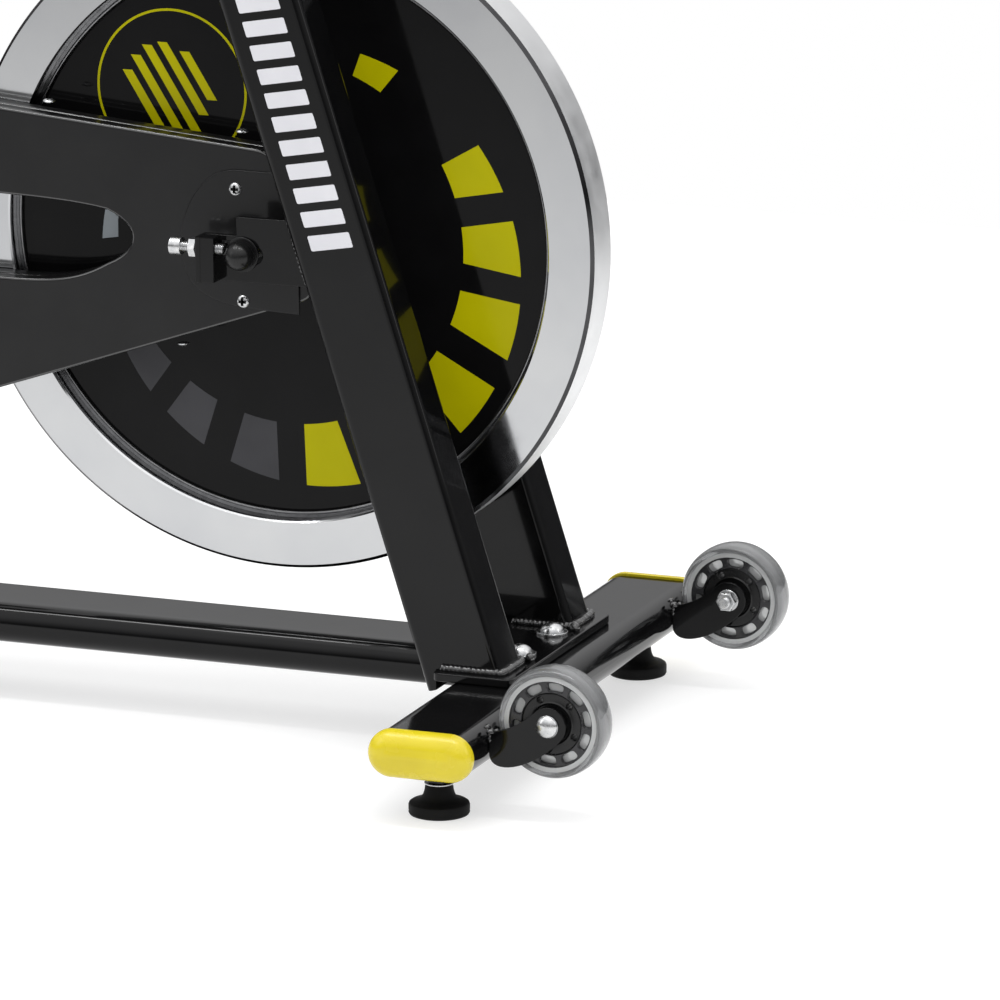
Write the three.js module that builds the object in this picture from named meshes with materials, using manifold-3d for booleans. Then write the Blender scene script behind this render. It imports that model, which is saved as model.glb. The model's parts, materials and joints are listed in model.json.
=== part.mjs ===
// Indoor exercise bike: a welded steel frame on two stabilizers, a belt-driven flywheel in a raked
// fork, levelling feet, transport wheels, and an adjustable saddle and handlebar.
// Millimetres. +X is the front of the bike, +Y the rider's left, +Z up, and the floor is z = 0.
// Pieces are placed from the flywheel axle (x = 0); the whole bike is then moved along X so that
// the origin lies under the middle of its outline.
import * as THREE from "three";
import { mergeVertices } from "three/addons/utils/BufferGeometryUtils.js";
import Module from "manifold-3d";

const wasm = await Module();
wasm.setup();

// ---------------------------------------------------------------- driving dimensions
const GAP = 0.3;
const WALL = 2.5;

const AXLE_Z = 357;
const RIM_RADIUS = 241.4;
const RIM_WIDTH = 37.5;
const RIM_INNER_RADIUS = 207;
const DISC_THICKNESS = 12;
const HUB_RADIUS = 24;
const HUB_RIGHT_Y = -23.7;
const HUB_LEFT_Y = 32;

const CRANK_X = -420;
const CRANK_Z = 316;
const CRANK_LENGTH = 170;
const CRANK_ARM_Y = 54;
const CRANK_ARM_THICKNESS = 14;
const PEDAL_INNER_Y = 82;
const PEDAL_WIDTH = 92;

const HUB_PULLEY_RADIUS = 24;
const CRANK_PULLEY_RADIUS = 117;
const PULLEY_RIGHT_Y = -41;
const PULLEY_LEFT_Y = -24.2;
const BELT_THICKNESS = 3;
const BELT_SEAT = 0.8;

const GUARD_RIGHT_Y = -46;
const GUARD_SEAM_Y = -33;
const GUARD_LEFT_Y = -20.3;
const GUARD_CRANK_RADIUS = 145;
const GUARD_ABOVE_AXLE = 68.7;
const GUARD_BELOW_AXLE = 47.1;
const GUARD_FRONT_AT_AXLE = 30.6;

const BAR_WIDTH = 75;
const BAR_HEIGHT = 30;
const STABILIZER_HALF_LENGTH = 230;
const CAP_END_Y = 245;
const FRONT_STABILIZER_X = 195;
const REAR_STABILIZER_X = -850;
const STABILIZER_Z = 50.3;
const BEAM_Z = 57;
const PLATE_TOP_Z = 71.7;

const FOOT_Y = 199.4;
const FOOT_RADIUS = 21.4;
const FOOT_HOLE_RADIUS = 5.4;

const WHEEL_X = 276;
const WHEEL_Z = 70.5;
const WHEEL_Y = 185.6;
const WHEEL_RADIUS = 40;
const WHEEL_WIDTH = 24;

const FORK_LEAN = THREE.MathUtils.degToRad(17.8);
const LEG_Y = 70;
const LEG_DEPTH = 60;
const LEG_WIDTH = 40;
const LEG_X_AT_AXLE = 76.5;
const CROWN_LOW_Z = 640;
const CROWN_HIGH_Z = 690;
const HEAD_TOP_Z = 834;
const HEAD_WIDTH = 44;
const POST_CLEARANCE = 0.3;
const HANDLEBAR_POST_LOW_Z = 712;
const HANDLEBAR_POST_HIGH_Z = 1040;
const HANDLEBAR_RADIUS = 15;

const SEAT_LEAN = THREE.MathUtils.degToRad(16);
const SEAT_TUBE_DEPTH = 60;
const SEAT_TUBE_WIDTH = 40;
const SEAT_TUBE_TOP_Z = 720;
const SEAT_POST_LOW_Z = 600;
const SEAT_POST_HIGH_Z = 905;
const BEAM_FRONT_Z = 700;
const BEAM_REAR_Z = 600;
const BEAM_HEIGHT = 70;

const BRAKE_ANGLE = THREE.MathUtils.degToRad(115);
const PAD_DISTANCE = 252;

// ---------------------------------------------------------------- materials
const paint = (color, roughness, metalness = 0) =>
  new THREE.MeshStandardMaterial({ color, roughness, metalness });
const BLACK_PAINT = paint(0x1c1c1d, 0.3, 0.2);
const BLACK_PLASTIC = paint(0x222222, 0.6);
const YELLOW_PLASTIC = paint(0xe3cf1b, 0.45);
const BLACK_RUBBER = paint(0x111111, 0.85);
const CLEAR_TYRE = paint(0xb9bdbd, 0.35);
const CHROME = paint(0xd6d8da, 0.12, 1);
const ZINC = paint(0xc4c6c8, 0.35, 1);
const BRUSHED_STEEL = paint(0xa9abad, 0.4, 1);
const BLACK_ALLOY = paint(0x2a2a2b, 0.4, 0.6);
const BLACK_VINYL = paint(0x18181a, 0.7);

// ---------------------------------------------------------------- solids
function solidOf(geometry) {
  const bare = new THREE.BufferGeometry();
  bare.setAttribute("position", geometry.getAttribute("position"));
  bare.setIndex(geometry.index);
  const merged = mergeVertices(bare, 1e-4);
  const mesh = new wasm.Mesh({
    numProp: 3,
    vertProperties: merged.attributes.position.array,
    triVerts: new Uint32Array(merged.index.array),
  });
  return new wasm.Manifold(mesh);
}

function geometryOf(solid) {
  const mesh = solid.getMesh();
  const geometry = new THREE.BufferGeometry();
  geometry.setAttribute("position", new THREE.BufferAttribute(mesh.vertProperties, 3));
  geometry.setIndex(new THREE.BufferAttribute(mesh.triVerts, 1));
  const faceted = geometry.toNonIndexed();
  faceted.computeVertexNormals();
  return faceted;
}

function join(first, ...others) {
  return geometryOf(others.reduce((sum, next) => sum.add(solidOf(next)), solidOf(first)));
}

function cut(body, ...tools) {
  return geometryOf(tools.reduce((rest, tool) => rest.subtract(solidOf(tool)), solidOf(body)));
}

// ---------------------------------------------------------------- outlines and basic forms
function roundedRectangle(width, height, radius) {
  const shape = new THREE.Shape();
  const x = width / 2 - radius;
  const y = height / 2 - radius;
  shape.absarc(x, y, radius, 0, Math.PI / 2);
  shape.absarc(-x, y, radius, Math.PI / 2, Math.PI);
  shape.absarc(-x, -y, radius, Math.PI, Math.PI * 1.5);
  shape.absarc(x, -y, radius, Math.PI * 1.5, Math.PI * 2);
  shape.closePath();
  return shape;
}

function flatOval(width, height) {
  return roundedRectangle(width, height, Math.min(width, height) / 2 - 0.01);
}

// The outline that wraps two circles, as a taut belt does.
function wrappedCircles(x1, y1, radius1, x2, y2, radius2) {
  const shape = new THREE.Shape();
  const heading = Math.atan2(y2 - y1, x2 - x1);
  const spread = Math.acos((radius1 - radius2) / Math.hypot(x2 - x1, y2 - y1));
  shape.absarc(x2, y2, radius2, heading - spread, heading + spread);
  shape.absarc(x1, y1, radius1, heading + spread, heading - spread + 2 * Math.PI);
  shape.closePath();
  return shape;
}

function circle(x, y, radius) {
  const path = new THREE.Path();
  path.absarc(x, y, radius, 0, 2 * Math.PI);
  return path;
}

function extrude(shape, depth, curveSegments = 6) {
  return new THREE.ExtrudeGeometry(shape, { depth, bevelEnabled: false, curveSegments });
}

// A plate whose outline is drawn in the side view (x, z), between two values of y.
function sidePlate(shape, lowY, highY, curveSegments) {
  return extrude(shape, highY - lowY, curveSegments).rotateX(Math.PI / 2).translate(0, highY, 0);
}

// A plate whose outline is drawn from above (x, y), between two heights.
function floorPlate(shape, lowZ, highZ, curveSegments) {
  return extrude(shape, highZ - lowZ, curveSegments).translate(0, 0, lowZ);
}

// A turned solid about the Y axis, from (radius, y) corners in order.
function turned(corners, segments = 20) {
  const points = corners.map(([radius, y]) => new THREE.Vector2(radius, y));
  const closed = points.every((point) => point.x > 0);
  const profile = closed ? [...points, points[0].clone()] : points;
  return new THREE.LatheGeometry(profile, segments);
}

function rod(radius, lowY, highY, segments) {
  return turned([[0, lowY], [radius, lowY], [radius, highY], [0, highY]], segments);
}

function ring(innerRadius, outerRadius, lowY, highY, segments) {
  const profile = [
    [innerRadius, lowY],
    [outerRadius, lowY],
    [outerRadius, highY],
    [innerRadius, highY],
  ];
  return turned(profile, segments);
}

// Turns a solid made along +Y so that it points along a direction of the side view.
function aimed(geometry, directionX, directionZ, x, y, z) {
  const direction = new THREE.Vector3(directionX, 0, directionZ).normalize();
  const turn = new THREE.Quaternion().setFromUnitVectors(new THREE.Vector3(0, 1, 0), direction);
  return geometry.applyQuaternion(turn).translate(x, y, z);
}

function box(lowX, highX, lowY, highY, lowZ, highZ) {
  const geometry = new THREE.BoxGeometry(highX - lowX, highY - lowY, highZ - lowZ);
  return geometry.translate((lowX + highX) / 2, (lowY + highY) / 2, (lowZ + highZ) / 2);
}

// A round bar along a smooth route.
function bentBar(route, radius, steps) {
  const section = new THREE.Shape();
  section.absarc(0, 0, radius, 0, 2 * Math.PI);
  const points = route.map((place) => new THREE.Vector3(...place));
  const extrudePath = new THREE.CatmullRomCurve3(points, false, "centripetal");
  return new THREE.ExtrudeGeometry(section, { extrudePath, steps, curveSegments: 4, bevelEnabled: false });
}

function hollow(outer, inner) {
  outer.holes.push(inner);
  return outer;
}

// ---------------------------------------------------------------- the two leaning axes
// A tube whose section is (fore-and-aft, across) and whose axis leans back from the vertical.
function leaningTube(section, lean, axisX, axisZ, lowZ, highZ, curveSegments) {
  const along = (z) => (z - axisZ) / Math.cos(lean);
  const low = along(lowZ);
  return extrude(section, along(highZ) - low, curveSegments)
    .translate(0, 0, low)
    .rotateY(-lean)
    .translate(axisX, 0, axisZ);
}

const forkX = (z) => LEG_X_AT_AXLE - (z - AXLE_Z) * Math.tan(FORK_LEAN);
const seatX = (z) => CRANK_X - (z - CRANK_Z) * Math.tan(SEAT_LEAN);
const forkTube = (section, lowZ, highZ) =>
  leaningTube(section, FORK_LEAN, LEG_X_AT_AXLE, AXLE_Z, lowZ, highZ, 2);
const seatAxisTube = (section, lowZ, highZ) =>
  leaningTube(section, SEAT_LEAN, CRANK_X, CRANK_Z, lowZ, highZ, 2);

// ---------------------------------------------------------------- assembly
const bike = new THREE.Group();

function add(name, geometry, material) {
  const mesh = new THREE.Mesh(geometry, material.clone());
  mesh.name = name;
  bike.add(mesh);
}

// Builds one node on each side: make(side) gets -1 for the right and +1 for the left.
function addPair(name, make, material) {
  add(name + "_right", make(-1), material);
  add(name + "_left", make(1), material);
}

// The span between two distances from the middle plane, on one side.
const across = (side, inner, outer) => (side < 0 ? [-outer, -inner] : [inner, outer]);

// ---------------------------------------------------------------- base
function stabilizer(x) {
  const section = hollow(flatOval(BAR_WIDTH, BAR_HEIGHT), flatOval(BAR_WIDTH - 4, BAR_HEIGHT - 4));
  const tube = extrude(section, 2 * STABILIZER_HALF_LENGTH, 3)
    .rotateX(-Math.PI / 2)
    .translate(x, -STABILIZER_HALF_LENGTH, STABILIZER_Z);
  const undersideZ = STABILIZER_Z - BAR_HEIGHT / 2;
  const upright = rod(FOOT_HOLE_RADIUS, -8, 8, 12).rotateX(Math.PI / 2);
  const footHole = (y) => upright.clone().translate(x, y, undersideZ);
  return cut(tube, footHole(-FOOT_Y), footHole(FOOT_Y));
}

function stabilizerCap(x, side) {
  const rimHeight = 4;
  const bulge = CAP_END_Y - STABILIZER_HALF_LENGTH - GAP - rimHeight;
  const dome = new THREE.ExtrudeGeometry(flatOval(BAR_WIDTH - 14, BAR_HEIGHT - 12), {
    depth: 0.5,
    bevelThickness: bulge - 0.5,
    bevelSize: 8,
    bevelSegments: 2,
    curveSegments: 2,
  });
  const behind = box(-50, 50, -30, 30, -30, 0.1);
  const rim = extrude(flatOval(BAR_WIDTH + 2, BAR_HEIGHT + 4), rimHeight + 0.3, 2)
    .translate(0, 0, -rimHeight);
  const plug = extrude(flatOval(BAR_WIDTH - 4.6, BAR_HEIGHT - 4.6), 16, 2)
    .translate(0, 0, -rimHeight - 15.9);
  return join(cut(dome, behind), rim, plug)
    .rotateX(side < 0 ? Math.PI / 2 : -Math.PI / 2)
    .translate(x, side * (STABILIZER_HALF_LENGTH + GAP + rimHeight), STABILIZER_Z);
}

function foot(x, side) {
  const profile = [
    [0, 0], [20.4, 0], [FOOT_RADIUS, 3], [20.8, 8.5], [12, 11.5], [10, 16], [9.4, 22],
    [10, 22.4], [10, 31], [5, 31], [5, 46], [0, 46],
  ];
  return turned(profile, 12).rotateX(Math.PI / 2).translate(x, side * FOOT_Y, 0);
}

function basePlate(lowX, highX, halfWidth) {
  const outline = roundedRectangle(highX - lowX, 2 * halfWidth, 6);
  return floorPlate(outline, STABILIZER_Z + BAR_HEIGHT / 2 + GAP, PLATE_TOP_Z, 2)
    .translate((lowX + highX) / 2, 0, 0);
}

const FRONT_PLATE_REAR_X = 150;
const REAR_PLATE_FRONT_X = -805;
const beamSection = hollow(flatOval(BAR_HEIGHT, BAR_WIDTH), flatOval(BAR_HEIGHT - 4, BAR_WIDTH - 4));
const beamLength = FRONT_PLATE_REAR_X - REAR_PLATE_FRONT_X - 2 * GAP;
const beamGeometry = extrude(beamSection, beamLength, 3)
  .rotateY(Math.PI / 2)
  .translate(REAR_PLATE_FRONT_X + GAP, 0, BEAM_Z);
add("base_beam", beamGeometry, BLACK_PAINT);
add("front_base_plate", basePlate(FRONT_PLATE_REAR_X, 211, 100), BLACK_PAINT);
add("rear_base_plate", basePlate(-872, REAR_PLATE_FRONT_X, 70), BLACK_PAINT);
add("front_stabilizer", stabilizer(FRONT_STABILIZER_X), BLACK_PAINT);
add("rear_stabilizer", stabilizer(REAR_STABILIZER_X), BLACK_PAINT);
addPair("front_cap", (side) => stabilizerCap(FRONT_STABILIZER_X, side), YELLOW_PLASTIC);
addPair("rear_cap", (side) => stabilizerCap(REAR_STABILIZER_X, side), YELLOW_PLASTIC);
addPair("front_foot", (side) => foot(FRONT_STABILIZER_X, side), BLACK_RUBBER);
addPair("rear_foot", (side) => foot(REAR_STABILIZER_X, side), BLACK_RUBBER);

// ---------------------------------------------------------------- transport wheels
const EAR_INNER = 12.6;
const EAR_OUTER = 16;
const WHEEL_BRACKET_BACK_X = FRONT_STABILIZER_X + BAR_WIDTH / 2 + GAP;

// Two curved ears on a web, bowed below the line from the stabilizer to the wheel's bolt.
function wheelBracket(side) {
  const ear = new THREE.Shape();
  ear.moveTo(WHEEL_BRACKET_BACK_X, 38);
  ear.quadraticCurveTo(WHEEL_X - 8, 33, WHEEL_X + 10, WHEEL_Z - 9);
  ear.absarc(WHEEL_X, WHEEL_Z, 13.4, -0.75, 2.3);
  ear.quadraticCurveTo(WHEEL_X - 22, WHEEL_Z - 4, WHEEL_BRACKET_BACK_X, 63);
  ear.closePath();
  ear.holes.push(circle(WHEEL_X, WHEEL_Z, 4.4));
  const middle = side * WHEEL_Y;
  const backX = WHEEL_BRACKET_BACK_X;
  const web = box(backX, backX + 3, middle - EAR_OUTER, middle + EAR_OUTER, 38, 56);
  const plate = (low, high) => sidePlate(ear, middle + low, middle + high, 5);
  return join(plate(-EAR_OUTER, -EAR_INNER), plate(EAR_INNER, EAR_OUTER), web);
}

function transportWheel(side) {
  const half = WHEEL_WIDTH / 2;
  const profile = [
    [4.4, -half], [12, -half], [22, -9], [32, -9], [38, -7], [WHEEL_RADIUS, 0],
    [38, 7], [32, 9], [22, 9], [12, half], [4.4, half],
  ];
  return turned(profile, 18).translate(WHEEL_X, side * WHEEL_Y, WHEEL_Z);
}

function wheelBolt(side) {
  const profile = [
    [0, -27], [4, -27], [4, -24], [6.6, -24], [6.6, -17.6], [8, -17.6], [8, -EAR_OUTER - GAP],
    [4, -EAR_OUTER - GAP], [4, EAR_OUTER + GAP], [8, EAR_OUTER + GAP], [8, 18], [5.4, 21], [0, 22],
  ];
  const solid = turned(profile, 10);
  return (side < 0 ? solid.rotateZ(Math.PI) : solid).translate(WHEEL_X, side * WHEEL_Y, WHEEL_Z);
}

addPair("wheel_bracket", wheelBracket, BLACK_PAINT);
addPair("transport_wheel", transportWheel, CLEAR_TYRE);
addPair("wheel_bolt", wheelBolt, ZINC);

// ---------------------------------------------------------------- fork, head and main frame
const LEG_FOOT_Z = 54;
const legSection = () => hollow(
  roundedRectangle(LEG_DEPTH, LEG_WIDTH, 6),
  roundedRectangle(LEG_DEPTH - 2 * WALL, LEG_WIDTH - 2 * WALL, 4),
);

// The leg's lower end is cut square and notched over the plate, so its heel hangs behind the plate.
function forkLeg(side) {
  const heelZ = LEG_FOOT_Z + (LEG_DEPTH / 2) * Math.sin(FORK_LEAN);
  const tube = forkTube(legSection(), heelZ, CROWN_HIGH_Z).translate(0, side * LEG_Y, 0);
  const [lowY, highY] = across(side, LEG_Y - 40, LEG_Y + 40);
  const plateSpace = box(FRONT_PLATE_REAR_X - GAP, 260, lowY, highY, 20, PLATE_TOP_Z + GAP);
  return cut(tube, plateSpace);
}

addPair("fork_leg", forkLeg, BLACK_PAINT);

const crownSection = hollow(
  roundedRectangle(LEG_DEPTH, 2 * (LEG_Y - LEG_WIDTH / 2 - GAP), 3),
  roundedRectangle(LEG_DEPTH - 16, 60, 3),
);
add("fork_crown", forkTube(crownSection, CROWN_LOW_Z, CROWN_HIGH_Z), BLACK_PAINT);

const headSection = hollow(
  roundedRectangle(LEG_DEPTH, HEAD_WIDTH, 6),
  roundedRectangle(LEG_DEPTH - 2 * WALL, HEAD_WIDTH - 2 * WALL, 4),
);
add("head_tube", forkTube(headSection, CROWN_HIGH_Z + GAP, HEAD_TOP_Z), BLACK_PAINT);

const BRAKE_X = Math.cos(BRAKE_ANGLE);
const BRAKE_Z = Math.sin(BRAKE_ANGLE);
const onBrakeLine = (geometry) => aimed(geometry, BRAKE_X, BRAKE_Z, 0, 0, AXLE_Z);

// The main beam runs from the head down to the seat tube, mitred to both.
function mainBeam() {
  const front = new THREE.Vector2(forkX(BEAM_FRONT_Z), BEAM_FRONT_Z);
  const rear = new THREE.Vector2(seatX(BEAM_REAR_Z), BEAM_REAR_Z);
  const middle = front.clone().add(rear).divideScalar(2);
  const length = front.distanceTo(rear) + 60;
  const slope = Math.atan2(front.y - rear.y, front.x - rear.x);
  const section = hollow(
    roundedRectangle(BEAM_HEIGHT, SEAT_TUBE_WIDTH, 6),
    roundedRectangle(BEAM_HEIGHT - 2 * WALL, SEAT_TUBE_WIDTH - 2 * WALL, 4),
  );
  const beam = extrude(section, length, 3)
    .translate(0, 0, -length / 2)
    .rotateY(Math.PI / 2 - slope)
    .translate(middle.x, 0, middle.y);
  const headSpace = box(-LEG_DEPTH / 2 - GAP, 200, -60, 60, -200, 200)
    .rotateY(-FORK_LEAN)
    .translate(front.x, 0, front.y);
  const seatSpace = box(-200, SEAT_TUBE_DEPTH / 2 + GAP, -60, 60, -200, 200)
    .rotateY(-SEAT_LEAN)
    .translate(rear.x, 0, rear.y);
  return cut(beam, headSpace, seatSpace, onBrakeLine(rod(8, 300, 420, 16)));
}

add("main_beam", mainBeam(), BLACK_PAINT);

const SHELL_RADIUS = 23;
const SHELL_RIGHT_Y = -19.7;
const SHELL_LEFT_Y = 44;
const atCrank = (geometry) => geometry.translate(CRANK_X, 0, CRANK_Z);
const seatSection = () => hollow(
  roundedRectangle(SEAT_TUBE_DEPTH, SEAT_TUBE_WIDTH, 6),
  roundedRectangle(SEAT_TUBE_DEPTH - 2 * WALL, SEAT_TUBE_WIDTH - 2 * WALL, 4),
);

function seatTube() {
  const tube = seatAxisTube(seatSection(), BEAM_Z, SEAT_TUBE_TOP_Z);
  const beamSpace = box(-500, -200, -60, 60, 0, BEAM_Z + BAR_HEIGHT / 2 + GAP);
  return cut(tube, beamSpace, atCrank(rod(SHELL_RADIUS + 2 * GAP, -30, 30, 16)));
}

add("seat_tube", seatTube(), BLACK_PAINT);
const shell = ring(18.3, SHELL_RADIUS, SHELL_RIGHT_Y, SHELL_LEFT_Y, 16);
const cartridge = ring(8.8, 18, SHELL_RIGHT_Y + GAP, SHELL_LEFT_Y + 3, 16);
add("bottom_bracket_shell", atCrank(shell), BLACK_PAINT);
add("bottom_bracket_cartridge", atCrank(cartridge), BRUSHED_STEEL);

// ---------------------------------------------------------------- flywheel and its axle
const atAxle = (geometry) => geometry.translate(0, 0, AXLE_Z);

function flywheel() {
  const rim = RIM_WIDTH / 2;
  const disc = DISC_THICKNESS / 2;
  const profile = [
    [16.3, HUB_RIGHT_Y], [HUB_RADIUS, HUB_RIGHT_Y], [HUB_RADIUS, -disc], [RIM_INNER_RADIUS, -disc],
    [RIM_INNER_RADIUS, -rim + 1.5], [RIM_INNER_RADIUS + 1.5, -rim], [RIM_RADIUS - 1.5, -rim],
    [RIM_RADIUS, -rim + 1.5], [RIM_RADIUS, rim - 1.5], [RIM_RADIUS - 1.5, rim],
    [RIM_INNER_RADIUS + 1.5, rim], [RIM_INNER_RADIUS, rim - 1.5], [RIM_INNER_RADIUS, disc],
    [HUB_RADIUS, disc], [HUB_RADIUS, HUB_LEFT_Y], [16.3, HUB_LEFT_Y],
  ];
  return atAxle(turned(profile, 36));
}

function cranksidePulley(radius, bore, hubRadius, rimDepth, segments) {
  const low = PULLEY_RIGHT_Y;
  const high = PULLEY_LEFT_Y;
  const webLow = (low + high) / 2 - 3;
  const webHigh = (low + high) / 2 + 3;
  const rimInner = radius - rimDepth;
  const profile = [
    [bore, low],
    [hubRadius, low],
    [hubRadius, webLow],
    [rimInner, webLow],
    [rimInner, low],
    [radius, low],
    [radius, high],
    [rimInner, high],
    [rimInner, webHigh],
    [hubRadius, webHigh],
    [hubRadius, high],
    [bore, high],
  ];
  return turned(profile, segments);
}

const AXLE_RADIUS = 7.5;
const AXLE_END_RADIUS = 6;
const BRACKET_INNER_Y = 74;
const BRACKET_OUTER_Y = 79;
const AXLE_END_Y = 86;

function flywheelAxle() {
  const profile = [
    [0, -AXLE_END_Y], [AXLE_END_RADIUS, -AXLE_END_Y], [AXLE_END_RADIUS, -BRACKET_INNER_Y + 1],
    [AXLE_RADIUS, -BRACKET_INNER_Y + 1], [AXLE_RADIUS, BRACKET_INNER_Y - 1],
    [AXLE_END_RADIUS, BRACKET_INNER_Y - 1], [AXLE_END_RADIUS, AXLE_END_Y], [0, AXLE_END_Y],
  ];
  return atAxle(turned(profile, 14));
}

function hubBearing(side) {
  const middle = side < 0 ? HUB_RIGHT_Y + 6 : HUB_LEFT_Y - 6;
  return atAxle(ring(AXLE_RADIUS + GAP, 16, middle - 4.5, middle + 4.5, 14));
}

const TENSION_BOLT_Y = 84.5;
const TENSION_BOLT_Z = 361;

// The dropout plate on the back of a fork leg, with a slot for the axle and an outward tab.
function axleBracket(side) {
  const lowZ = 337;
  const highZ = 383.6;
  const tabTopZ = 370;
  const tabX = -31;
  const legBack = (z) => forkX(z) - LEG_DEPTH / 2 / Math.cos(FORK_LEAN) - GAP;
  const outline = new THREE.Shape();
  outline.moveTo(tabX, lowZ);
  outline.lineTo(legBack(lowZ), lowZ);
  outline.lineTo(legBack(highZ), highZ);
  outline.lineTo(-4.6, highZ);
  outline.lineTo(-4.6, tabTopZ);
  outline.lineTo(tabX, tabTopZ);
  outline.closePath();
  const slotRadius = AXLE_END_RADIUS + 0.4;
  const slot = wrappedCircles(-8, AXLE_Z, slotRadius, 8, AXLE_Z, slotRadius);
  outline.holes.push(slot);
  const plate = sidePlate(outline, ...across(side, BRACKET_INNER_Y, BRACKET_OUTER_Y), 6);
  const tabReach = across(side, BRACKET_OUTER_Y - 1, BRACKET_OUTER_Y + 13);
  const tab = box(tabX, tabX + 4, ...tabReach, lowZ, tabTopZ);
  const boltHole = rod(4.4, -50, 50, 12)
    .rotateZ(Math.PI / 2)
    .translate(tabX, side * TENSION_BOLT_Y, TENSION_BOLT_Z);
  return cut(join(plate, tab), boltHole);
}

// Socket-head bolt with its lock nut; the thread's tip stops at the axle nut.
function tensionBolt(side) {
  const profile = [
    [0, -52], [6.5, -52], [6.5, -43.5], [4, -43.5], [4, -37.8], [7.2, -37.8], [7.2, -31 - GAP],
    [4, -31 - GAP], [4, -11.2], [0, -11.2],
  ];
  return turned(profile, 10).rotateZ(-Math.PI / 2).translate(0, side * TENSION_BOLT_Y, TENSION_BOLT_Z);
}

function capNut(side) {
  const bore = AXLE_END_RADIUS + GAP;
  const profile = [
    [0, 87], [bore, 87], [bore, BRACKET_OUTER_Y + GAP], [10.5, BRACKET_OUTER_Y + GAP], [10.5, 86],
    [9, 91.5], [5.5, 94.5], [0, 95.5],
  ];
  const solid = turned(profile, 12);
  return atAxle(side < 0 ? solid.rotateZ(Math.PI) : solid);
}

add("flywheel", flywheel(), CHROME);
add("flywheel_pulley", atAxle(cranksidePulley(HUB_PULLEY_RADIUS, 9, 17, 4, 14)), BRUSHED_STEEL);
addPair("hub_bearing", hubBearing, BRUSHED_STEEL);
add("flywheel_axle", flywheelAxle(), ZINC);
addPair("axle_bracket", axleBracket, BLACK_PAINT);
addPair("tension_bolt", tensionBolt, ZINC);
addPair("axle_cap_nut", capNut, BLACK_PLASTIC);

// ---------------------------------------------------------------- crank, pedals and belt
function crankArm(side) {
  const pedalZ = CRANK_Z + side * CRANK_LENGTH;
  const outline = wrappedCircles(CRANK_X, CRANK_Z, 19, CRANK_X, pedalZ, 14);
  outline.holes.push(circle(CRANK_X, CRANK_Z, 8.8), circle(CRANK_X, pedalZ, 6.5));
  return sidePlate(outline, ...across(side, CRANK_ARM_Y, CRANK_ARM_Y + CRANK_ARM_THICKNESS), 8);
}

const atPedal = (geometry, side) => geometry.translate(CRANK_X, 0, CRANK_Z + side * CRANK_LENGTH);

function pedalSpindle(side) {
  const profile = [
    [0, CRANK_ARM_Y + 2], [6.2, CRANK_ARM_Y + 2], [6.2, CRANK_ARM_Y + CRANK_ARM_THICKNESS + GAP],
    [9, CRANK_ARM_Y + CRANK_ARM_THICKNESS + GAP], [9, PEDAL_INNER_Y - 4], [6, PEDAL_INNER_Y - 4],
    [6, PEDAL_INNER_Y + PEDAL_WIDTH - 8], [0, PEDAL_INNER_Y + PEDAL_WIDTH - 8],
  ];
  const solid = turned(profile, 14);
  return atPedal(side < 0 ? solid.rotateZ(Math.PI) : solid, side);
}

// A platform with a toe cage. The cage hangs below, as a free pedal does.
function pedal(side) {
  const [lowY, highY] = across(side, PEDAL_INNER_Y, PEDAL_INNER_Y + PEDAL_WIDTH);
  const middleY = (lowY + highY) / 2;
  const platform = hollow(roundedRectangle(82, 22, 6), circle(0, 0, 6.6));
  const cage = new THREE.Shape();
  cage.moveTo(36, 8);
  cage.lineTo(49, 8);
  cage.quadraticCurveTo(62, -34, 28, -58);
  cage.lineTo(0, -64);
  cage.lineTo(0, -60.5);
  cage.lineTo(26, -55);
  cage.quadraticCurveTo(57, -33, 45.5, 4);
  cage.lineTo(36, 4);
  cage.closePath();
  const body = sidePlate(platform, lowY, highY, 4);
  return atPedal(join(body, sidePlate(cage, middleY - 30, middleY + 30, 5)), side);
}

const beltLoop = (extra) => wrappedCircles(
  CRANK_X, CRANK_Z, CRANK_PULLEY_RADIUS + extra, 0, AXLE_Z, HUB_PULLEY_RADIUS + extra);

add("crank_axle", atCrank(rod(8.5, -CRANK_ARM_Y - 12, CRANK_ARM_Y + 12, 20)), BRUSHED_STEEL);
add("crank_pulley", atCrank(cranksidePulley(CRANK_PULLEY_RADIUS, 8.8, 26, 9, 24)), BLACK_ALLOY);
addPair("crank_arm", crankArm, BLACK_ALLOY);
addPair("pedal_spindle", pedalSpindle, ZINC);
addPair("pedal", pedal, BLACK_PLASTIC);
const beltShape = hollow(beltLoop(BELT_SEAT + BELT_THICKNESS), beltLoop(BELT_SEAT));
add("drive_belt", sidePlate(beltShape, PULLEY_RIGHT_Y + 2, PULLEY_LEFT_Y - 2, 8), BLACK_RUBBER);

// ---------------------------------------------------------------- belt guard
const crankDistance = Math.hypot(CRANK_X, CRANK_Z - AXLE_Z);
const crankHeading = Math.atan2(CRANK_Z - AXLE_Z, CRANK_X) + 2 * Math.PI;

// The direction in which a straight edge faces, when it leaves the crank end's arc and passes
// the flywheel axle at a distance; side is -1 for the upper edge and +1 for the lower one.
function edgeHeading(crankRadius, axleDistance, side) {
  return crankHeading + side * Math.acos((axleDistance - crankRadius) / crankDistance);
}

// The point where two edges meet, each given by its heading and its distance from the axle.
function meetingPoint(heading1, distance1, heading2, distance2) {
  const across2 = Math.sin(heading2 - heading1);
  const x = (distance1 * Math.sin(heading2) - distance2 * Math.sin(heading1)) / across2;
  const z = (distance2 * Math.cos(heading1) - distance1 * Math.cos(heading2)) / across2;
  return new THREE.Vector2(x, AXLE_Z + z);
}

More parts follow.
